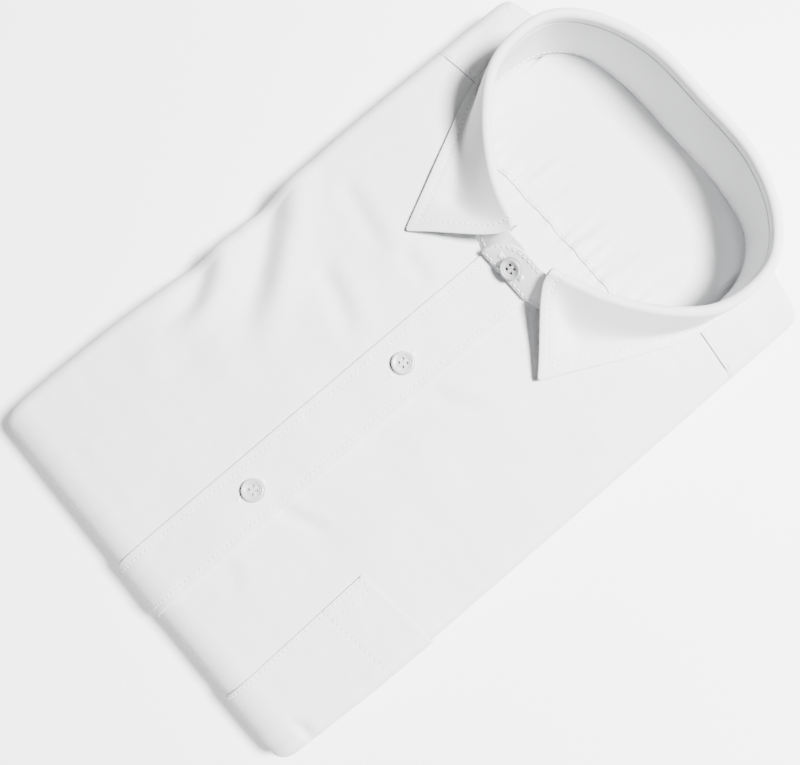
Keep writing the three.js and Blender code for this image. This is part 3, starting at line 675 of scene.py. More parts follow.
def headCurve(t):
    # a curve through the rows on both sides and the top
    rows = list(zip(headShares, headYs))
    right, left = ([(side * s * halfWidth(side, 300), y) for s, y in rows] for side in (-1, 1))
    return throughPoints([*right, headTop, *left[::-1]], t)


shoulders = {
    "cloth": 0.55,
    "lift": 1.2,
    "steps": 300,
    "stitchIn": 1.6,
    "seamRise": 0.25,
    "seamFrom": 79.5,
    "seamTo": 101,
}


def evenly(curve, count):
    # count places an equal way apart along a curve
    fine = np.linspace(0, 1, 2000)
    run = runAlong(curve(fine))
    return np.interp(np.linspace(0, run[-1], count), run, fine)


def addShoulders():
    # rows run in straight lines from the neck seam out to the pack's outline and down round its
    # edge by part of a circle
    steps = shoulders["steps"]
    t = evenly(headCurve, steps)
    edge = headCurve(t)
    tangent = unit(headCurve(np.clip(t + 1e-4, 0, 1)) - headCurve(np.clip(t - 1e-4, 0, 1)))
    out = np.stack([-tangent[:, 1], tangent[:, 0]], -1)
    out[0], out[-1] = (-1, 0), (1, 0)
    low = np.argmax(seamLine[:, 1] >= yokeSeamY(seamLine[:, 0]))
    s = np.linspace(low / 800, 1 - low / 800, steps)
    neck = seamCurve(s)
    radius = np.minimum(pack["foldRadius"], 0.8 * np.linalg.norm(edge - neck, axis=1))[:, None]
    start = edge - out * radius
    share = np.concatenate([[0, 0.004, 0.012], np.linspace(0.03, 1, 34), np.ones(16)])
    turn = np.concatenate([np.zeros(37), np.linspace(0, pack["turn"], 17)[1:]])
    lift = shoulders["lift"] - shoulders["cloth"] / 2
    flat = neck[:, None] + (start - neck)[:, None] * share[None, :, None]
    plan = flat + out[:, None] * ((radius - 1.2 + lift) * np.sin(turn)[None, :])[..., None]
    tall = pack["foldRadius"]
    depth = tall - (tall + lift) * np.cos(turn)[None, :]
    z = clothTop(flat[..., 0], flat[..., 1]) - depth
    middle = np.concatenate([plan, z[..., None]], -1)
    # both ends lie along the yoke seam
    for row in (0, -1):
        middle[row, :, 1] = yokeSeamY(middle[row, :, 0]) + 0.05
        middle[row, :, 2] = clothTop(flat[row, :, 0], middle[row, :, 1]) - depth[0]
    # the yoke is two plies and stands a little over the fronts at its seam
    seamGap = middle[..., 1] - yokeSeamY(middle[..., 0])
    inFront = (middle[..., 1] < 300).astype(float)
    middle[..., 2] += shoulders["seamRise"] * np.exp(-((seamGap / 1.4) ** 2)) * inFront
    down = np.cumsum(np.linalg.norm(np.diff(middle, axis=1, prepend=middle[:, :1]), axis=2), 1)
    weave = np.stack([down, np.broadcast_to(s[:, None] * 700, down.shape)], -1)
    # one row of stitches beside each of its front seams
    sewn, seamX = [], np.linspace(shoulders["seamFrom"], shoulders["seamTo"], 40)
    for side in (-1, 1):
        x = side * seamX
        y = yokeSeamY(x) + shoulders["stitchIn"]
        z = clothTop(x, y) + lift + shoulders["cloth"] / 2 + shoulders["seamRise"] * math.exp(-1.3)
        sewn.append(layStitches(np.stack([x, y, z], -1), np.tile([0.0, 0.0, 1.0], (40, 1))))
    count = np.interp(np.abs(middle[..., 0]), seamX, sewn[1][2])
    away = np.where(inFront > 0, seamGap - shoulders["stitchIn"], farOff["unsewn"])
    seam = nearestRow(middle.shape[:2], [(away, count)])
    sheet = addCloth("yokeShoulders", middle, weave, shoulders["cloth"], seam)
    return sheet, joined("shoulderStitching", sewn)


yokeShoulders, shoulderStitching = addShoulders()

neckFloor = {
    "z": 24.6,
    "seamY": 262.5,
    "arch": 1.2,
    "backFrom": 210,
    "fallTo": 244,
    "half": 85,
    "backHalf": 72,
    "rise": 18,
    "cloth": 0.55,
    "pucker": 1.1,
    "puckerReach": 13,
    "stitchIn": 1.8,
    "step": 1.1,
}


def floorTop(x, y):
    # inside the neck the back lies low; towards the placket it lies just under the fronts
    hidden = stackHeight(x, y) - 0.6
    fallen = smooth(neckFloor["backFrom"], neckFloor["fallTo"], y)
    return mix(hidden, np.minimum(neckFloor["z"], hidden), fallen)


def floorSeamY(x):
    # the yoke's back seam arches up by a parabola across the middle
    return neckFloor["seamY"] + neckFloor["arch"] * np.maximum(0, 1 - (x / 60) ** 2)


floorFolds = [  # as the creases above
    ([(-42, 268), (-30, 284), (-24, 304)], 7, 0.8, 0.5),
    ([(-10, 265), (-4, 280), (2, 290)], 5, 0.5, 0.5),
    ([(14, 266), (22, 284), (36, 300)], 7, 0.6, 0.4),
    ([(46, 266), (50, 282), (60, 296)], 6, 0.7, 0.5),
    ([(-60, 292), (-44, 314), (-20, 324)], 7, 0.6, 0.4),
    ([(-50, 240), (-20, 246), (14, 244)], 8, 0.4, 0.4),
]


def floorRumple(x, y):
    # the listed folds, soft waves, and short puckers that fade away from the back seam
    folds = creaseDepth(x, y, floorFolds)
    gap = y - floorSeamY(x)
    pucker = waves(x, y * 0.22, 21, 16, 5, 15)
    pucker = pucker * np.exp(-np.maximum(gap, 0) / neckFloor["puckerReach"])
    pucker = pucker * np.where(gap < 0, np.exp(gap / 3.0), 1)
    return 0.16 * waves(x, y, 22, 12, 18, 60) - folds + neckFloor["pucker"] * pucker


def addFloor(name, lowY, highY):
    # a sheet between two lines across the neck: it dips at its seam by a bell, and the yoke's
    # back edge eases up under the collar
    half = neckFloor["half"]
    x = np.linspace(-half, half, int(2 * half / neckFloor["step"]))
    low, high = lowY(x), highY(x)
    share = closeAtEnds(70, 1, near=(0.0008, 0.0024, 0.006, 0.012))
    y = low[:, None] + share[None, :] * (high - low)[:, None]
    flatX = np.broadcast_to(x[:, None], y.shape)
    back = np.abs(flatX) < neckFloor["backHalf"]
    reach = smooth(high[:, None] - neckFloor["rise"], high[:, None] - 2.5, y) * back * (name == "yokeFloor")
    calm = np.clip((half - np.abs(flatX)) / 8, 0, 1)
    z = mix(floorTop(flatX, y) + floorRumple(flatX, y) * calm, stackHeight(flatX, y) + 0.9, reach)
    z = z - 0.35 * np.exp(-(((y - floorSeamY(flatX)) / 0.9) ** 2)) - neckFloor["cloth"] / 2
    if name == "yokeFloor":
        z = z + 0.3 * np.exp(-np.maximum(y - floorSeamY(flatX), 0) / 5)
    middle = np.stack([flatX, y, z], -1)
    if name == "backSheet":
        return addCloth(name, middle, middle[..., :2], neckFloor["cloth"])
    # one row of stitches on the yoke beside the seam
    fromSeam = y - floorSeamY(flatX)
    i = np.arange(len(x), dtype=float)
    sewn = sewRow(middle, neckFloor["cloth"], i[2:-2], crossing(fromSeam, neckFloor["stitchIn"])[2:-2])
    count = np.interp(i, i[2:-2], sewn[2])[:, None]
    seam = nearestRow(middle.shape[:2], [(fromSeam - neckFloor["stitchIn"], count)])
    return addCloth(name, middle, middle[..., :2], neckFloor["cloth"], seam), joined("floorStitching", [sewn])


backHalf = seamLine[:401][seamLine[:401, 1] > 301]


def floorBackY(x):
    # just past the neck seam, and straight across outside it
    edge = np.interp(-np.abs(x), backHalf[:, 0], backHalf[:, 1]) + 1.5
    return np.where(np.abs(x) < neckFloor["backHalf"], edge, 317)


yokeFloor, floorStitching = addFloor("yokeFloor", lambda x: floorSeamY(x) + 0.1, floorBackY)
backSheet = addFloor("backSheet", lambda x: 0 * x + neckFloor["backFrom"], lambda x: floorSeamY(x) - 0.1)
print("yoke and back made")

# collar

collar = {"stand": 1.25, "leaf": 1.25, "seat": 0.55, "rollAbove": 6.0, "rollRadius": 1.9, "steps": 420}
lap = {"from": 16, "to": 32, "offset": 0.95}


def collarSection(t):
    # the foot of the stand, the way up it, the way out of it and its height, at each t
    foot2 = seamCurve(t)
    z = panelTop(foot2[:, 0], foot2[:, 1]) + collar["seat"]
    foot = np.concatenate([foot2, z[:, None]], 1)
    rise = topCurve(t) - foot
    height = np.linalg.norm(rise, axis=1) - collar["rollAbove"]
    up = unit(rise)
    step = 1e-4
    along = topCurve(np.clip(t + step, 0, 1)) - topCurve(np.clip(t - step, 0, 1))
    run = seamCurve(np.clip(t + step, 0, 1)) - seamCurve(np.clip(t - step, 0, 1))
    along = unit(along) + np.concatenate([unit(run), np.zeros((len(t), 1))], 1)
    out = unit(np.cross(up, unit(along)))
    share = (1 - smooth(lap["from"], lap["to"], np.abs(foot[:, 0]))) * (foot[:, 1] < 260)
    foot = foot + out * (np.sign(foot[:, 0]) * share * lap["offset"])[:, None]
    return foot, up, out, height


# The lapped ends of the stand past the last section: how far across, and the share of the
# height that is left there, along a rounded end.
bandEnds = {
    "over": {
        "t": 1.0,
        "across": [13, 8, 3, -2, -6, -9.5, -12.5, -14.6, -15.5, -15.7],
        "height": [1, 1, 1, 0.965, 0.89, 0.77, 0.59, 0.38, 0.2, 0.1],
    },
    "under": {
        "t": 0.0,
        "across": [-13, -9, -4, 1, 6, 10, 11.5],
        "height": [1, 1, 1, 0.94, 0.8, 0.5, 0.3],
    },
}


def bandEnd(spec, count):
    # the stand carried on straight past its last section, lower and lower as its end rounds off
    foot, up, out, height = collarSection(np.array([spec["t"]]))
    line = throughPoints(np.stack([spec["across"], spec["height"]], -1), np.linspace(0, 1, count))
    up = unit(np.array([0, up[0, 1], up[0, 2]]))
    out = np.cross(up, np.array([-1.0, 0, 0]))
    feet = np.stack([line[:, 0], np.full(count, foot[0, 1]), np.full(count, foot[0, 2])], -1)
    return feet, np.tile(up, (count, 1)), np.tile(out, (count, 1)), height[0] * line[:, 1]


standLook = {"stitchUp": 2.0, "wave": 0.22, "bow": 0.5}


def addStand():
    # rows of straight sections from the under end round the back to the over end, bowed out by
    # half a sine wave
    t = np.linspace(0, 1, collar["steps"])
    parts = [bandEnd(bandEnds["under"], 60), collarSection(t), bandEnd(bandEnds["over"], 70)]
    first = [p[1:][::-1] for p in parts[0]]
    last = [p[1:] for p in parts[2]]
    foot, up, out, height = (np.concatenate([a, b, c]) for a, b, c in zip(first, parts[1], last))
    share = closeAtEnds(46, 1, near=(0.003, 0.01, 0.02, 0.03))
    middle = foot[:, None] + up[:, None] * (height[:, None] * share[None, :])[..., None]
    run = runAlong(foot)
    lifted = height[:, None] * share[None, :]
    # the stand bows a little, with soft waves round it
    arch = np.sin(math.pi * share)[None, :]
    bow = standLook["bow"] * arch * np.clip(height / 20, 0, 1)[:, None]
    wave = standLook["wave"] * waves(run[:, None], lifted * 0.6, 31, 10, 18, 60) * arch
    middle = middle + out[:, None, :] * (collar["stand"] / 2 + bow + wave)[..., None]
    weave = np.stack(np.broadcast_arrays(run[:, None], lifted), -1)
    # rows of stitches along the foot, on both faces, and over the top of the lapped end
    flip = 1 if (gridNormals(middle)[:, 5] * out).sum() > 0 else -1
    i = np.arange(len(middle), dtype=float)
    keep, inset = height > 7, standLook["stitchUp"]
    footJ = crossing(lifted, inset)
    topJ = middle.shape[1] - 1 - crossing(height[:, None] - lifted[:, ::-1], inset)
    over = keep & (i > len(i) - 68)
    sewn = [sewRow(middle, collar["stand"], i[keep], footJ[keep], side) for side in (flip, -flip)]
    sewn.append(sewRow(middle, collar["stand"], i[over], topJ[over], flip))
    counts = [np.interp(i, i[keep], sewn[0][2])[:, None], np.interp(i, i[over], sewn[2][2])[:, None]]
    aways = [lifted - inset, np.where(over[:, None], height[:, None] - inset - lifted, farOff["unsewn"])]
    seam = nearestRow(middle.shape[:2], list(zip(aways, counts)))
    return addCloth("standBand", middle, weave, collar["stand"], seam), joined("standStitching", sewn)


standBand, standStitching = addStand()

leafLook = {
    "stitchIn": 5.0,
    "riseRows": 14,
    "rollRows": 20,
    "fallRows": 56,
    "wave": 0.3,
    "drop": 0.9,
    "dropAtEnd": 0.18,
    "spread": 0.42,
    "spreadAtEnd": 0.44,
    "outward": -0.03,
    "leanAtLeast": 0.9,
    "hollowFrom": 0.004,
    "hollowTo": 0.065,
    "tip": 2.2,
    "gap": 0.25,
}


def addLeaf():
    # each section rises from the stand, turns over its roll and falls along a cubic curve to the
    # leaf's edge
    steps = collar["steps"]
    s = closeAtEnds(steps, 1, near=(0.00008, 0.00025, 0.0006, 0.0012))
    foot, up, out, height = collarSection(s)
    half = collar["leaf"] / 2
    lean = np.interp(s * 16, np.arange(17), bothSides("lean", False))
    start = foot + up * (height + leafLook["gap"])[:, None] + out * half
    radius = collar["rollRadius"]
    bend = start + up * (collar["rollAbove"] - leafLook["gap"] - radius - half)
    centre = bend + out * radius
    rise = np.linspace(0, 1, leafLook["riseRows"], endpoint=False)
    angle = np.linspace(0, math.pi, leafLook["rollRows"])
    rising = start[:, None] + (bend - start)[:, None] * rise[None, :, None]
    spoke = out[:, None] * np.cos(angle)[:, None] - up[:, None] * np.sin(angle)[:, None]
    turning = centre[:, None] - radius * spoke
    edge = endCurve(s)
    edge[:, 2] += panelTop(edge[:, 0], edge[:, 1]) + half
    top = turning[:, -1]
    length = np.linalg.norm(edge - top, axis=1)[:, None]
    inward = unit((top - edge) * np.array([1, 1, 0]))
    # past its front ends the leaf drops steeply from its roll and then spreads, so it is hollow
    hollow = smooth(leafLook["hollowFrom"], leafLook["hollowTo"], np.minimum(s, 1 - s))[:, None]
    lean = mix(lean[:, None], np.maximum(lean, leafLook["leanAtLeast"])[:, None], hollow)
    settle = unit(inward * lean + np.array([0, 0, 1]) * (1 - lean))
    drop = mix(leafLook["dropAtEnd"], leafLook["drop"], hollow)
    c1 = top + (out * leafLook["outward"] * hollow - up * drop) * length
    c2 = edge + settle * mix(leafLook["spreadAtEnd"], leafLook["spread"], hollow) * length
    w = closeAtEnds(leafLook["fallRows"], 1, near=(0.001, 0.004, 0.01, 0.018))[1:][None, :, None]
    fall = (
        top[:, None] * (1 - w) ** 3
        + 3 * c1[:, None] * w * (1 - w) ** 2
        + 3 * c2[:, None] * w**2 * (1 - w)
        + edge[:, None] * w**3
    )
    middle = np.concatenate([rising, turning, fall], 1)
    run = runAlong(top)
    down = np.cumsum(np.linalg.norm(np.diff(middle, axis=1, prepend=middle[:, :1]), axis=2), 1)
    toEdge = down[:, -1:] - down
    toFront = np.cumsum(np.linalg.norm(np.diff(middle, axis=0, prepend=middle[:1]), axis=2), 0)
    toFront = np.minimum(toFront, toFront[-1] - toFront)
    normal = gridNormals(middle)
    stitch = np.minimum(toEdge, toFront)
    dip = stitchGroove(stitch - leafLook["stitchIn"], 0.3, 1.0)
    wave = leafLook["wave"] * waves(run[:, None], toEdge * 0.5, 41, 9, 24, 90)
    wave = wave * smooth(4, 20, down) * np.clip(toEdge / 14, 0, 1)
    outward = np.sign((normal * out[:, None]).sum(-1).mean()) or 1
    middle = middle + normal * outward * (wave - dip)[..., None]
    # both tips are rounded: a square corner is pressed into a quarter disc
    tip = leafLook["tip"]
    u, v = np.clip(1 - toEdge / tip, 0, 1), np.clip(1 - toFront / tip, 0, 1)
    back, aside = u - u * np.sqrt(1 - v**2 / 2), v - v * np.sqrt(1 - u**2 / 2)
    for near, step in ((slice(0, len(s) // 2), 1), (slice(len(s) // 2, None), -1)):
        end = 0 if step > 0 else -1
        inwards = unit(middle[end, -10] - middle[end, -1])
        sideways = unit(middle[end + 8 * step, -1] - middle[end, -1])
        middle[near] += (back[near, :, None] * inwards + aside[near, :, None] * sideways) * tip
    weave = np.stack([np.broadcast_to(run[:, None], down.shape), down], -1)
    # the row of stitches runs down one front end, along the leaf's edge and up the other end
    inset = leafLook["stitchIn"]
    i, j = np.arange(len(middle), dtype=float), np.arange(middle.shape[1], dtype=float)
    half = len(middle) // 2
    edgeJ = middle.shape[1] - 1 - crossing(toEdge[:, ::-1], inset)
    endI = crossing(toFront[:half].T, inset)
    endIOther = len(middle) - 1 - crossing(toFront[::-1][:half].T, inset)
    legs = (j >= leafLook["riseRows"] + 3) & (down[half] < down[half, -1] - inset)
    inside = (i > endI[legs][-1]) & (i < endIOther[legs][-1])
    pathI = np.concatenate([endI[legs], i[inside], endIOther[legs][::-1]])
    pathJ = np.concatenate([j[legs], edgeJ[inside], j[legs][::-1]])
    flip = 1 if gridNormals(middle)[:, -8, 2].sum() > 0 else -1
    sewn = sewRow(middle, collar["leaf"], pathI, pathJ, flip)
    count, n = sewn[2], int(legs.sum())
    alongEdge = np.interp(i, i[inside], count[n:-n])[:, None]
    nearEnd = np.interp(j, j[legs], count[:n])[None, :]
    farEnd = np.interp(j, j[legs], count[-n:][::-1])[None, :]
    atEnd = np.where(i[:, None] < half, nearEnd, farEnd)
    past = down > 4
    aways = [
        np.where(past & (toFront < toEdge), toFront - inset, farOff["unsewn"]),
        np.where(past & (toFront >= toEdge), toEdge - inset, farOff["unsewn"]),
    ]
    seam = nearestRow(middle.shape[:2], list(zip(aways, [atEnd, alongEdge])))
    return addCloth("collarLeaf", middle, weave, collar["leaf"], seam), joined("leafStitching", [sewn])


collarLeaf, leafStitching = addLeaf()
print("collar made")

# the hidden layers: sleeves, turned-in sides and folded-under tail, seen as edges at the sides

layers = {
    "rows": [  # height of each folded edge, its thickness, its insets at the sides and the head
        {"z": 3.9, "thick": 1.7, "side": 9.6, "head": 28, "sway": 0.5},
        {"z": 5.7, "thick": 1.9, "side": 8.3, "head": 25, "sway": 0.6},
        {"z": 7.5, "thick": 1.7, "side": 8.6, "head": 27, "sway": 0.6},
        {"z": 9.3, "thick": 2.0, "side": 4.6, "head": 18, "sway": 0.7},
        {"z": 11.3, "thick": 2.4, "side": 2.6, "head": 14, "sway": 0.5},
        {"z": 13.4, "thick": 1.8, "side": 4.2, "head": 14, "sway": 0.8},
        {"z": 15.3, "thick": 2.3, "side": 2.7, "head": 5, "sway": 0.4},
        {"z": 17.3, "thick": 1.8, "side": 3.4, "head": 3.6, "sway": 0.4},
        {"z": 19.2, "thick": 1.9, "side": 4.8, "head": 3.6, "sway": 0.2},
    ],
    "between": 2.4,
    "around": 420,
    "levels": 96,
    "low": 3.0,
    "high": 20.2,
    "foldReach": 13.6,
    "headFrom": 240,
    "headTo": 332,
}


def packOutline(t):
    # shares of the way round the pack's outline, and its length: up the right side, round the
    # head, down the left side and back along the bottom fold
    up = np.linspace(0, headYs[0], 200)
    base = np.linspace(halfWidth(1, 0), -halfWidth(-1, 0), 90)[1:-1]
    right, left = (np.stack([side * halfWidth(side, up), up], -1) for side in (-1, 1))
    head = headCurve(np.linspace(0, 1, 260))[1:-1]
    points = np.concatenate([right, head, left[::-1], np.stack([base, 0 * base], -1), right[:1]])
    run = runAlong(points)
    return np.stack([np.interp(t * run[-1], run, points[:, k]) for k in (0, 1)], -1), run[-1]


def addLayers():
    # the outline at each height, pulled in by the round edge that reaches out furthest there;
    # each edge sways by a sum of sine waves round the pack
    t = np.linspace(0, 1, layers["around"], endpoint=False)
    plan, total = packOutline(t)
    z = np.linspace(layers["low"], layers["high"], layers["levels"])[:, None]
    angle = 2 * math.pi * t[None, :]
    side, head = np.full((len(z), 1), 99.0), np.full((len(z), 1), 99.0)
    sway = np.zeros((len(z), len(t)))
    dice = np.random.default_rng(51)
    for row in layers["rows"]:
        turns = dice.integers(3, 23, 7)
        phases = dice.uniform(0, 2 * math.pi, 7)
        own = row["sway"] * np.abs(sum(np.sin(n * angle + p) for n, p in zip(turns, phases)) / 3)
        q = (z - row["z"]) / (row["thick"] / 2)
        bulge = row["thick"] * (1 - np.sqrt(np.clip(1 - q**2, 0, 1)))
        inset = np.where(np.abs(q) < 1, bulge, layers["between"])
        closer = row["side"] + inset < side
        side = np.where(closer, row["side"] + inset, side)
        head = np.where(closer, row["head"] + inset, head)
        sway = np.where(closer, own, sway)
    head, side = head + sway, side + sway
    wide = np.abs(plan[:, 0])
    shrink = (wide - side) / wide
    x = plan[None, :, 0] * np.where(wide > 20, shrink, 1 - side / 110)
    half = (layers["high"] - layers["low"]) / 2 + 3
    level = np.clip((z - layers["low"] - half + 1.5) / half, -1, 1)
    foot = pack["foldReach"] - layers["foldReach"] * np.sqrt(1 - level**2)
    y = np.broadcast_to(plan[None, :, 1], x.shape)
    corner = 5 * (1 - smooth(0, 26, y)) * smooth(60, 100, np.abs(x))
    x = x - np.sign(x) * corner
    y = np.where(y < pack["foldReach"], foot + (pack["foldReach"] - foot) * y / pack["foldReach"], y)
    y = y - head * smooth(layers["headFrom"], layers["headTo"], y)
    rise = 0.3 * np.sin(3 * angle + 1) * np.sin(7 * angle) * (1 - level**2)
    ring = np.stack([x, y, z + rise], -1)
    middle = np.array([0, 150.0])
    ends, steps = (ring[0], ring[-1]), (0.1, 0.4, 0.8, 0.995)
    low, high = ([end + (np.append(middle, end[0, 2]) - end) * k for k in steps] for end in ends)
    rings = np.stack([*low[::-1], *ring, *high])
    rows, columns = rings.shape[:2]
    run = np.broadcast_to(t * total, (rows, columns))
    down = np.cumsum(np.linalg.norm(np.diff(rings, axis=0, prepend=rings[:1]), axis=2), 0)
    weave = np.stack([run, down, np.zeros_like(run)], -1).reshape(-1, 3)
    k = np.arange(0, columns, 2)
    fan = np.stack([np.zeros_like(k), k, k + 1, (k + 2) % columns], -1)
    low, high = fan.copy(), fan[:, ::-1] + (rows - 1) * columns
    low[:, 0], high[:, 3] = rows * columns, rows * columns + 1
    faces = np.concatenate([gridFaces(rows, columns, around=True)[:, ::-1], low, high])
    centres = np.array([[*middle, z[0, 0]], [*middle, z[-1, 0]]])
    points = np.concatenate([rings.reshape(-1, 3), centres])
    return newObject("foldedLayers", points, faces, np.concatenate([weave, centres]))


foldedLayers = addLayers()
print("hidden layers made")

# buttons and buttonholes

button = {
    "radius": 5.7,
    "thick": 2.5,
    "slant": 0.35,  # how far the side leans in on its way up
    "rim": 1.1,
    "rimHalf": 0.45,
    "dish": 0.95,
    "well": 2.6,
    "hole": 0.8,
    "holeOut": 1.38,
    "gap": 0.22,
    "strand": 0.11,
    "shank": 1.5,
    "around": 72,
}


def closeEnds(made, loops):
    # one face is put across each end ring, and all faces are then turned outwards
    work = bmesh.new()
    work.from_mesh(made.data)
    work.verts.ensure_lookup_table()
    for loop in loops:
        work.faces.new([work.verts[k] for k in loop])
    bmesh.ops.recalc_face_normals(work, faces=work.faces)
    work.to_mesh(made.data)
    work.free()


def drilled(disc):
    # four upright cylinders, one in each quarter, are taken out of the disc
    out, drills = button["holeOut"] * pattern["scale"], []
    for x, y in ((-out, -out), (-out, out), (out, -out), (out, out)):
        radius = button["hole"] * pattern["scale"]
        bpy.ops.mesh.primitive_cylinder_add(vertices=20, radius=radius, depth=0.012, location=(x, y, 0))
        drills.append(bpy.context.object)
        cut = disc.modifiers.new("drill", "BOOLEAN")
        cut.operation, cut.solver, cut.object = "DIFFERENCE", "EXACT", drills[-1]
    mesh = bpy.data.meshes.new_from_object(disc.evaluated_get(bpy.context.evaluated_depsgraph_get()))
    disc.modifiers.clear()
    for drill in drills:
        bpy.data.objects.remove(drill)
    return mesh


def markShadedWalls(mesh):
    # steep faces are marked for painted shade: the walls of the four holes wholly, the outer
    # side by half
    centre, normal = np.empty(len(mesh.polygons) * 3), np.empty(len(mesh.polygons) * 3)
    mesh.polygons.foreach_get("center", centre)
    mesh.polygons.foreach_get("normal", normal)
    centre = centre.reshape(-1, 3)[:, :2] / pattern["scale"]
    steep = np.abs(normal.reshape(-1, 3)[:, 2]) < 0.4
    fromHole = np.hypot(*(np.abs(centre) - button["holeOut"]).T)
    inner = steep & (fromHole < 1.01 * button["hole"])
    outer = steep & (np.hypot(*centre.T) > button["radius"] - 0.5)
    # the drilled mask carries painted shade for the resin's colour
    mesh.attributes.new("drilled", "FLOAT", "FACE").data.foreach_set("value", inner + 0.5 * outer)


def buttonBody(name):
    # a profile turned about z: a slanting side, a half-round rim, a quarter-round fall and a
    # flat well, which is then drilled four times
    r, h, rim, half, dish = (button[k] for k in ("radius", "thick", "rim", "rimHalf", "dish"))
    lip, brow, low = r - button["slant"], h - half, h - dish - 0.1
    side = np.array([[r - 0.2, 0], [r, 0.2], [r, 0.4 * h]])
    b = np.linspace(0, math.pi, 11)
    top = np.stack([lip - rim / 2 + rim / 2 * np.cos(b), brow + half * np.sin(b)], -1)
    c = np.linspace(0, math.pi / 2, 6)[1:]
    bowl = np.stack([lip - rim - 1.1 * np.sin(c), brow - (dish - 0.35) * (1 - np.cos(c))], -1)
    well = np.array([[button["well"], low - 0.02], [1.2, low], [0.01, low]])
    profile = np.concatenate([[[0.01, 0]], side, top, bowl, well])
    around = button["around"]
    turn = np.linspace(0, 2 * math.pi, around, endpoint=False)
    out, up = profile[:, None, 0], profile[:, None, 1]
    ring = np.stack([out * np.cos(turn), out * np.sin(turn), up + 0 * turn], -1)
    points = ring.reshape(-1, 3) + np.array([0, pattern["middleY"], 0])
    disc = newObject(name, points, gridFaces(len(profile), around, around=True))
    closeEnds(disc, [np.arange(around)[::-1], np.arange(around) + (len(profile) - 1) * around])
    disc.data = drilled(disc)
    disc.data.name = name
    disc.data.polygons.foreach_set("use_smooth", np.ones(len(disc.data.polygons), bool))
    disc.data.set_sharp_from_angle(angle=0.4)
    markShadedWalls(disc.data)
    return disc


def placed(points, place, axes):
    # points about the origin, turned onto three axes and moved to a place
    return points @ axes + place


def seatButton(made, place, axes):
    # the button is turned onto the cloth's axes and moved there in its mesh
    co = np.empty(len(made.data.vertices) * 3)
    made.data.vertices.foreach_get("co", co)
    points = placed(co.reshape(-1, 3) / pattern["scale"], place, axes)
    made.data.vertices.foreach_set("co", toFrame(points).ravel())
    made.data.update()


def tube(line, radius, sides):
    # a round bar carried along a line: a circle across it at each point, drawn in at both ends
    along = unit(np.gradient(line, axis=0))
    first = unit(np.cross(along, np.tile([0.13, 0.21, 1.0], (len(line), 1))))
    second = np.cross(along, first)
    a = np.linspace(0, 2 * math.pi, sides, endpoint=False)[:, None]
    ring = first[:, None] * np.cos(a) + second[:, None] * np.sin(a)
    ends = np.concatenate([line[:1], line, line[-1:]])
    ring = np.concatenate([ring[:1] * 0.02, ring * radius, ring[-1:] * 0.02])
    points = (ends[:, None] + ring).reshape(-1, 3)
    return points, gridFaces(len(ends), sides, around=True)[:, ::-1]


def threadBars(seed):
    # a bar arches between each pair of holes, as a flattened half sine wave, and three wavy
    # turns of a wound shank hold the button up
    dice = np.random.default_rng(seed)
    top, out, parts = button["thick"] - button["dish"] - 0.1, button["holeOut"], []
    t = np.linspace(0, 1, 26)
    arch = np.sin(math.pi * np.clip((t - 0.02) / 0.96, 0, 1)) ** 0.35
    for side in (-1, 1):
        y = side * out + dice.uniform(-0.03, 0.03) * (0.5 + 0.5 * arch)
        z = top - 1.6 * (1 - arch) + 0.02
        parts.append(tube(np.stack([mix(-out, out, t), y, z], -1), button["strand"], 7))
    a = np.linspace(0, 2 * math.pi, 30)
    for turn in range(3):
        z = np.full(30, -0.28 + 0.2 * turn) + 0.03 * np.sin(3 * a)
        line = np.stack([button["shank"] * np.cos(a), button["shank"] * np.sin(a), z], -1)
        parts.append(tube(line, button["strand"], 6))
    return merged(parts)


satin = {"step": 0.42, "slit": 0.18, "reach": 0.95, "uneven": 0.08, "rise": 0.16, "radius": 0.17}
barTack = {"stitches": 4, "step": 0.26, "half": 1.45, "rise": 0.3, "radius": 0.22}


def buttonhole(length, seed):
    # satin stitches side by side down both sides of a slit, each a low half sine wave of uneven
    # reach, and longer ones laid over both ends
    dice = np.random.default_rng(seed)
    count, parts = int(length / satin["step"]), []
    t = np.linspace(0, 1, 5)
    for side in (-1, 1):
        for n in range(count):
            y = (n + 0.5) / count * length - length / 2
            reach = satin["reach"] + dice.uniform(-satin["uneven"], satin["uneven"])
            z = 0.02 + satin["rise"] * np.sin(math.pi * t)
            line = np.stack([side * (satin["slit"] + reach * t), y + 0 * t, z], -1)
            parts.append(tube(line, satin["radius"], 5))
    t = np.linspace(0, 1, 7)
    for end in (-1, 1):
        for n in range(barTack["stitches"]):
            y = end * (length / 2 + 0.1 + barTack["step"] * n)
            z = 0.06 + barTack["rise"] * np.sin(math.pi * t)
            line = np.stack([mix(-barTack["half"], barTack["half"], t), y + 0 * t, z], -1)
            parts.append(tube(line, barTack["radius"], 5))
    return merged(parts)


placketButtons = [
    {
        "name": "placketButton1",
        "node": "placket_button_1",
        "at": (0.0, 163.6),
        "hole": (0.2, 163.3),
        "spin": 3,
    },
    {
        "name": "placketButton2",
        "node": "placket_button_2",
        "at": (0.0, 71.3),
        "hole": (-0.6, 70.6),
        "spin": -2,
    },
]
standSpot = {"up": 0.42, "lift": 0.5, "holeX": -0.8, "spin": 4}
holeLength = {"placket": 13.6, "stand": 14.0}


def onPlacket(x, y, lift=0.0):
    # the place on the placket's face over a point of the pattern
    return np.array([x, y, float(clothTop(np.array(x), np.array(y))) + placket["lift"] + lift])


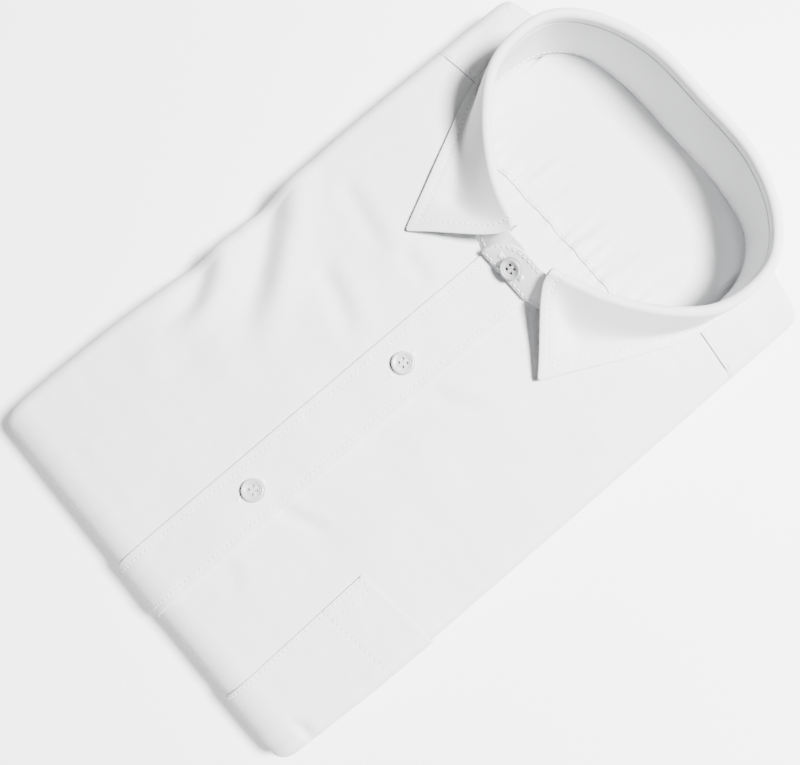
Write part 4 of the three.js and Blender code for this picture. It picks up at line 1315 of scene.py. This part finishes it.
def clothAxes(x, y, spin):
    # the cloth's own axes there: the way across, the way along and straight out, from its slopes
    step = 0.5
    slopeX = (clothTop(x + step, y) - clothTop(x - step, y)) / (2 * step)
    slopeY = (clothTop(x, y + step) - clothTop(x, y - step)) / (2 * step)
    out = unit(np.array([-float(slopeX), -float(slopeY), 1]))
    a = math.radians(spin)
    right = unit(np.cross([-math.sin(a), math.cos(a), 0], out))
    return np.stack([right, np.cross(out, right), out])


def onStand(spec):
    # the place on the lapped end's face, a share of the way up it, and its axes: across, up, out
    feet, ups, outs, heights = bandEnd(bandEnds["over"], 2)
    up, out = ups[0], outs[0]
    place = feet[0] * (0, 1, 1) + up * heights[0] * spec["up"] + out * (collar["stand"] + spec["lift"])
    return place, np.stack([[1.0, 0, 0], up, out])


def spun(axes, degrees):
    # the first two axes turned about the third
    c, s = math.cos(math.radians(degrees)), math.sin(math.radians(degrees))
    return np.stack([axes[0] * c + axes[1] * s, axes[1] * c - axes[0] * s, axes[2]])


buttonsMade, sewing = [], []


def addButton(name, node, seat, axes, hole, holeAxes, length, seed):
    # the body, its thread and its buttonhole, each turned onto the cloth's axes at its place
    body, seat = buttonBody(name), seat + axes[2] * button["gap"]
    seatButton(body, seat, axes)
    buttonsMade.append((body, node))
    for label, (points, faces), place, turn in (
        ("Thread", threadBars(60 + seed), seat, axes),
        ("Hole", buttonhole(length, 70 + seed), hole, holeAxes),
    ):
        sewing.append(newObject(name + label, placed(points, place, turn), faces))


for n, spot in enumerate(placketButtons):
    axes = clothAxes(*np.array(spot["at"]), spot["spin"])
    seat, hole = onPlacket(*spot["at"]), onPlacket(*spot["hole"], 0.02)
    addButton(spot["name"], spot["node"], seat, axes, hole, axes, holeLength["placket"], n)
seat, axes = onStand(standSpot)
hole = seat + np.array([standSpot["holeX"], 0, 0]) + axes[2] * 0.02
turned, sideways = spun(axes, standSpot["spin"]), spun(axes, 90)
addButton("standButton", "stand_button", seat, turned, hole, sideways, holeLength["stand"], 3)
print("buttons made")

# materials


def newGroup(name, inputs, outputs):
    # a shader node group with named sockets; each input has its type and value
    group = bpy.data.node_groups.new(name, "ShaderNodeTree")
    for label, kind, value in inputs:
        socket = group.interface.new_socket(label, in_out="INPUT", socket_type=kind)
        if value is not None:
            socket.default_value = value
    for label in outputs:
        group.interface.new_socket(label, in_out="OUTPUT", socket_type="NodeSocketFloat")
    return group, group.nodes.new("NodeGroupInput"), group.nodes.new("NodeGroupOutput")


def setInputs(tree, node, values):
    # each input socket gets a value, or a link from another node's output
    for label, value in values.items():
        if isinstance(value, bpy.types.NodeSocket):
            tree.links.new(value, node.inputs[label])
        else:
            node.inputs[label].default_value = value


def addNode(tree, kind, values, **settings):
    # a node whose settings are made before its inputs are set
    node = tree.nodes.new("ShaderNode" + kind)
    for label, value in settings.items():
        setattr(node, label, value)
    setInputs(tree, node, values)
    return node


def sumOf(tree, operation, *values):
    # one step of arithmetic on numbers and sockets
    return addNode(tree, "Math", dict(enumerate(values)), operation=operation).outputs[0]


def makePlainWeave():
    # over-and-under threads: the product of two sine waves, made uneven by a noise drawn out
    # along the yarns, which is also put out as a mask of the thicker ones
    inputs = [("Cloth", "NodeSocketVector", None), ("Thread", "NodeSocketFloat", 0.42)]
    group, start, end = newGroup("plainWeave", inputs, ["Height", "Slub"])
    split = addNode(group, "SeparateXYZ", {0: start.outputs["Cloth"]})
    rate = sumOf(group, "DIVIDE", math.pi, start.outputs["Thread"])
    warp = sumOf(group, "SINE", sumOf(group, "MULTIPLY", split.outputs[0], rate))
    weft = sumOf(group, "SINE", sumOf(group, "MULTIPLY", split.outputs[1], rate))
    drawn = addNode(group, "Mapping", {0: start.outputs["Cloth"], "Scale": (1.4, 0.12, 1)})
    noise = addNode(group, "TexNoise", {"Vector": drawn.outputs[0], "Scale": 1.0, "Detail": 3})
    height = sumOf(group, "MULTIPLY_ADD", sumOf(group, "MULTIPLY", warp, weft), 0.5, 0.5)
    uneven = sumOf(group, "ADD", sumOf(group, "MULTIPLY", noise.outputs["Fac"], 0.5), 0.75)
    both = {"Height": sumOf(group, "MULTIPLY", height, uneven), "Slub": noise.outputs["Fac"]}
    setInputs(group, end, both)
    return group


def makeSoftCreases():
    # shallow uneven waves finer than the mesh holds: a near noise and a far one added up
    group, start, end = newGroup("softCreases", [("Cloth", "NodeSocketVector", None)], ["Height"])
    cloth = {"Vector": start.outputs["Cloth"]}
    nearLook = {"Scale": 0.16, "Detail": 4, "Roughness": 0.42, "Distortion": 0.5}
    near = addNode(group, "TexNoise", {**cloth, **nearLook})
    far = addNode(group, "TexNoise", {**cloth, "Scale": 0.035, "Detail": 2})
    part = sumOf(group, "MULTIPLY", near.outputs["Fac"], 0.6)
    setInputs(group, end, {"Height": sumOf(group, "ADD", part, far.outputs["Fac"])})
    return group


def makeNeedleHoles():
    # round holes between the stitches: the distance to the row and to the nearest whole count of
    # stitches along it, joined as a square root of squares, falls from 1 to 0 over the radius
    inputs = [("Seam", "NodeSocketVector", None)]
    inputs += [("Pitch", "NodeSocketFloat", 2.8), ("Radius", "NodeSocketFloat", 0.5)]
    group, start, end = newGroup("needleHoles", inputs, ["Hole"])
    split = addNode(group, "SeparateXYZ", {0: start.outputs["Seam"]})
    aside = sumOf(group, "ABSOLUTE", split.outputs[0])
    part = sumOf(group, "SUBTRACT", split.outputs[1], sumOf(group, "ROUND", split.outputs[1]))
    along = sumOf(group, "ABSOLUTE", sumOf(group, "MULTIPLY", part, start.outputs["Pitch"]))
    squares = [sumOf(group, "POWER", value, 2.0) for value in (aside, along)]
    away = sumOf(group, "SQRT", sumOf(group, "ADD", *squares))
    reach = {"Value": away, "From Min": 0.0, "From Max": start.outputs["Radius"]}
    reach |= {"To Min": 1.0, "To Max": 0.0}
    ramp = addNode(group, "MapRange", reach, interpolation_type="SMOOTHSTEP")
    setInputs(group, end, {"Hole": ramp.outputs[0]})
    return group


plainWeave, softCreases, needleHoles = makePlainWeave(), makeSoftCreases(), makeNeedleHoles()


def newMaterial(name):
    # a material, its node tree and its shader
    material = bpy.data.materials.new(name)
    material.use_nodes = True
    return material, material.node_tree, material.node_tree.nodes["Principled BSDF"]


def between(tree, share, low, high):
    # a colour that goes from low at a share of 0 to high at 1
    ends = [(*colour, 1) if isinstance(colour, tuple) else colour for colour in (low, high)]
    return addNode(tree, "Mix", {0: share, 6: ends[0], 7: ends[1]}, data_type="RGBA").outputs[2]


def bumped(tree, height, strength, distance, under=None, invert=False):
    # a bump by that height, on top of the bump under it
    values = {"Height": height, "Strength": strength, "Distance": distance}
    if under is not None:
        values["Normal"] = under
    return addNode(tree, "Bump", values, invert=invert).outputs["Normal"]


cotton = {
    "white": (0.73, 0.733, 0.74),
    "shade": (0.7, 0.704, 0.713),
    "thread": 0.42,
    "weaveBump": 0.25,
    "creaseBump": 0.12,
    "roughness": 0.86,
    "sheen": 0.05,
    "hole": 0.55,
    # painted shade: the grey the needle holes are coloured in place of the shade inside them
    "paintedHoleShade": (0.42, 0.43, 0.45),
    "holeBump": 0.5,
}


def makeCotton(name, spec):
    # white cotton, clouded by its yarns, with painted shade in its needle holes, and with three
    # bumps on each other: soft creases, the weave and the holes
    material, tree, shader = newMaterial(name)
    flat = addNode(tree, "Attribute", {}, attribute_name="weave").outputs["Vector"]
    row = addNode(tree, "Attribute", {}, attribute_name="seam").outputs["Vector"]
    weave = addNode(tree, "Group", {"Cloth": flat, "Thread": spec["thread"]}, node_tree=plainWeave)
    crease = addNode(tree, "Group", {"Cloth": flat}, node_tree=softCreases)
    holes = addNode(tree, "Group", {"Seam": row, "Radius": spec["hole"]}, node_tree=needleHoles)
    hole = holes.outputs["Hole"]
    white = between(tree, weave.outputs["Slub"], spec["shade"], spec["white"])
    low = bumped(tree, crease.outputs["Height"], spec["creaseBump"], 0.0012)
    high = bumped(tree, weave.outputs["Height"], spec["weaveBump"], 0.0001, low)
    look = {
        # the needle holes get painted shade in their colour
        "Base Color": between(tree, hole, white, spec["paintedHoleShade"]),
        "Normal": bumped(tree, hole, spec["holeBump"], 0.0003, high, invert=True),
        "Roughness": spec["roughness"],
        "Specular IOR Level": 0.25,
        "Sheen Weight": spec["sheen"],
        "Sheen Roughness": 0.5,
    }
    setInputs(tree, shader, look)
    return material


def makeThread(name):
    # twisted sewing thread: fine slanting waves in its bump and its white
    material, tree, shader = newMaterial(name)
    place = addNode(tree, "TexCoord", {}).outputs["Object"]
    stripes = {"Vector": place, "Scale": 900, "Distortion": 1.5}
    twist = addNode(tree, "TexWave", stripes, bands_direction="DIAGONAL").outputs["Fac"]
    look = {
        "Base Color": between(tree, twist, (0.87, 0.873, 0.88), (0.93, 0.932, 0.935)),
        "Normal": bumped(tree, twist, 0.3, 0.00005),
        "Roughness": 0.55,
        "Sheen Weight": 0.2,
    }
    setInputs(tree, shader, look)
    return material


def makeResin(name):
    # clear-coated pale resin, clouded like pearl by a noise, with painted shade on the walls of its
    # holes and, by half, on its outer side
    material, tree, shader = newMaterial(name)
    place = addNode(tree, "TexCoord", {}).outputs["Object"]
    clouds = {"Vector": place, "Scale": 260, "Detail": 4, "Distortion": 1.6}
    cloud = addNode(tree, "TexNoise", clouds).outputs["Fac"]
    wall = addNode(tree, "Attribute", {}, attribute_name="drilled").outputs["Fac"]
    pearl = between(tree, cloud, (0.36, 0.365, 0.37), (0.62, 0.625, 0.63))
    look = {
        # painted shade: near black on the hole walls and half of it on the outer side
        "Base Color": between(tree, wall, pearl, (0.06, 0.062, 0.066)),
        "Normal": bumped(tree, cloud, 0.05, 0.0002),
        "Roughness": 0.3,
        "IOR": 1.5,
        "Coat Weight": 0.5,
        "Coat Roughness": 0.12,
    }
    setInputs(tree, shader, look)
    return material


def paint(objects, material):
    # each object gets the one material
    for made in objects:
        made.data.materials.clear()
        made.data.materials.append(material)


sheets = [rightFront, leftFront, placketBand, pocketPatch, yokeShoulders]
sheets += [yokeFloor, backSheet, standBand, collarLeaf]
sewn = [placketStitching, leafStitching, pocketStitching, standStitching, shoulderStitching, floorStitching]
sewn += sewing
paint(sheets, makeCotton("whitePoplin", cotton))
paint([foldedLayers], makeCotton("hiddenPoplin", {**cotton, "creaseBump": 0.2}))
paint(sewn, makeThread("whiteThread"))
paint([body for body, node in buttonsMade], makeResin("pearlResin"))
print("materials made")

# what stands for what

dressed = [
    (rightFront, "right_front"),
    (leftFront, "left_front"),
    (placketBand, "placket"),
    (pocketPatch, "chest_pocket"),
    (yokeShoulders, "yoke"),
    (yokeFloor, "yoke"),
    (backSheet, "back_panel"),
    (standBand, "collar_stand"),
    (collarLeaf, "collar_leaf"),
    (foldedLayers, "folded_layers"),
    *buttonsMade,
]
for piece, node in dressed:
    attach(piece, "root")
    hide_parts(node)
for piece in sewn:
    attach(piece, "root")

# floor and light

studio = {
    "floor": (0.93, 0.93, 0.93),
    "reach": 6.0,
    "glow": 0.45,
    "world": 0.04,
    "lamps": {
        "top": {"place": (0.2, 0.1, 1.6), "size": 0.3, "power": 5},
        "key": {"place": (0.43, 0.54, 1.32), "size": 0.36, "power": 138},
    },
}


def addStudioFloor(spec):
    # a square through the origin that shines a little itself
    reach = spec["reach"]
    corners = np.array([[-reach, -reach, 0], [reach, -reach, 0], [reach, reach, 0], [-reach, reach, 0]])
    mesh = bpy.data.meshes.new("floor")
    mesh.from_pydata(corners.tolist(), [], [[0, 1, 2, 3]])
    made = bpy.data.objects.new("floor", mesh)
    bpy.context.collection.objects.link(made)
    material, tree, shader = newMaterial("paleFloor")
    look = {
        "Base Color": (*spec["floor"], 1),
        "Roughness": 0.95,
        "Specular IOR Level": 0.1,
        "Emission Color": (1, 1, 1, 1),
        "Emission Strength": spec["glow"],
    }
    setInputs(tree, shader, look)
    made.data.materials.append(material)


def addLamp(name, spec):
    # a round lamp turned to face the origin: its axes are right, view x right reversed, and back
    lamp = bpy.data.lights.new(name, "AREA")
    lamp.shape, lamp.size, lamp.energy = "DISK", spec["size"], spec["power"]
    made = bpy.data.objects.new(name, lamp)
    bpy.context.collection.objects.link(made)
    made.location = spec["place"]
    view = -np.array(spec["place"]) / np.linalg.norm(spec["place"])
    right = unit(np.cross(view, [0, 0, 1]))
    turn = np.eye(4)
    turn[:3, 0], turn[:3, 1], turn[:3, 2], turn[:3, 3] = right, np.cross(right, view), -view, spec["place"]
    made.matrix_world = turn.T.tolist()


addStudioFloor(studio)
for name, spec in studio["lamps"].items():
    addLamp(name, spec)
world = bpy.data.worlds.new("studio")
world.use_nodes = True
world.node_tree.nodes["Background"].inputs["Color"].default_value = (1, 1, 1, 1)
world.node_tree.nodes["Background"].inputs["Strength"].default_value = studio["world"]
bpy.context.scene.world = world
print("floor and light set")
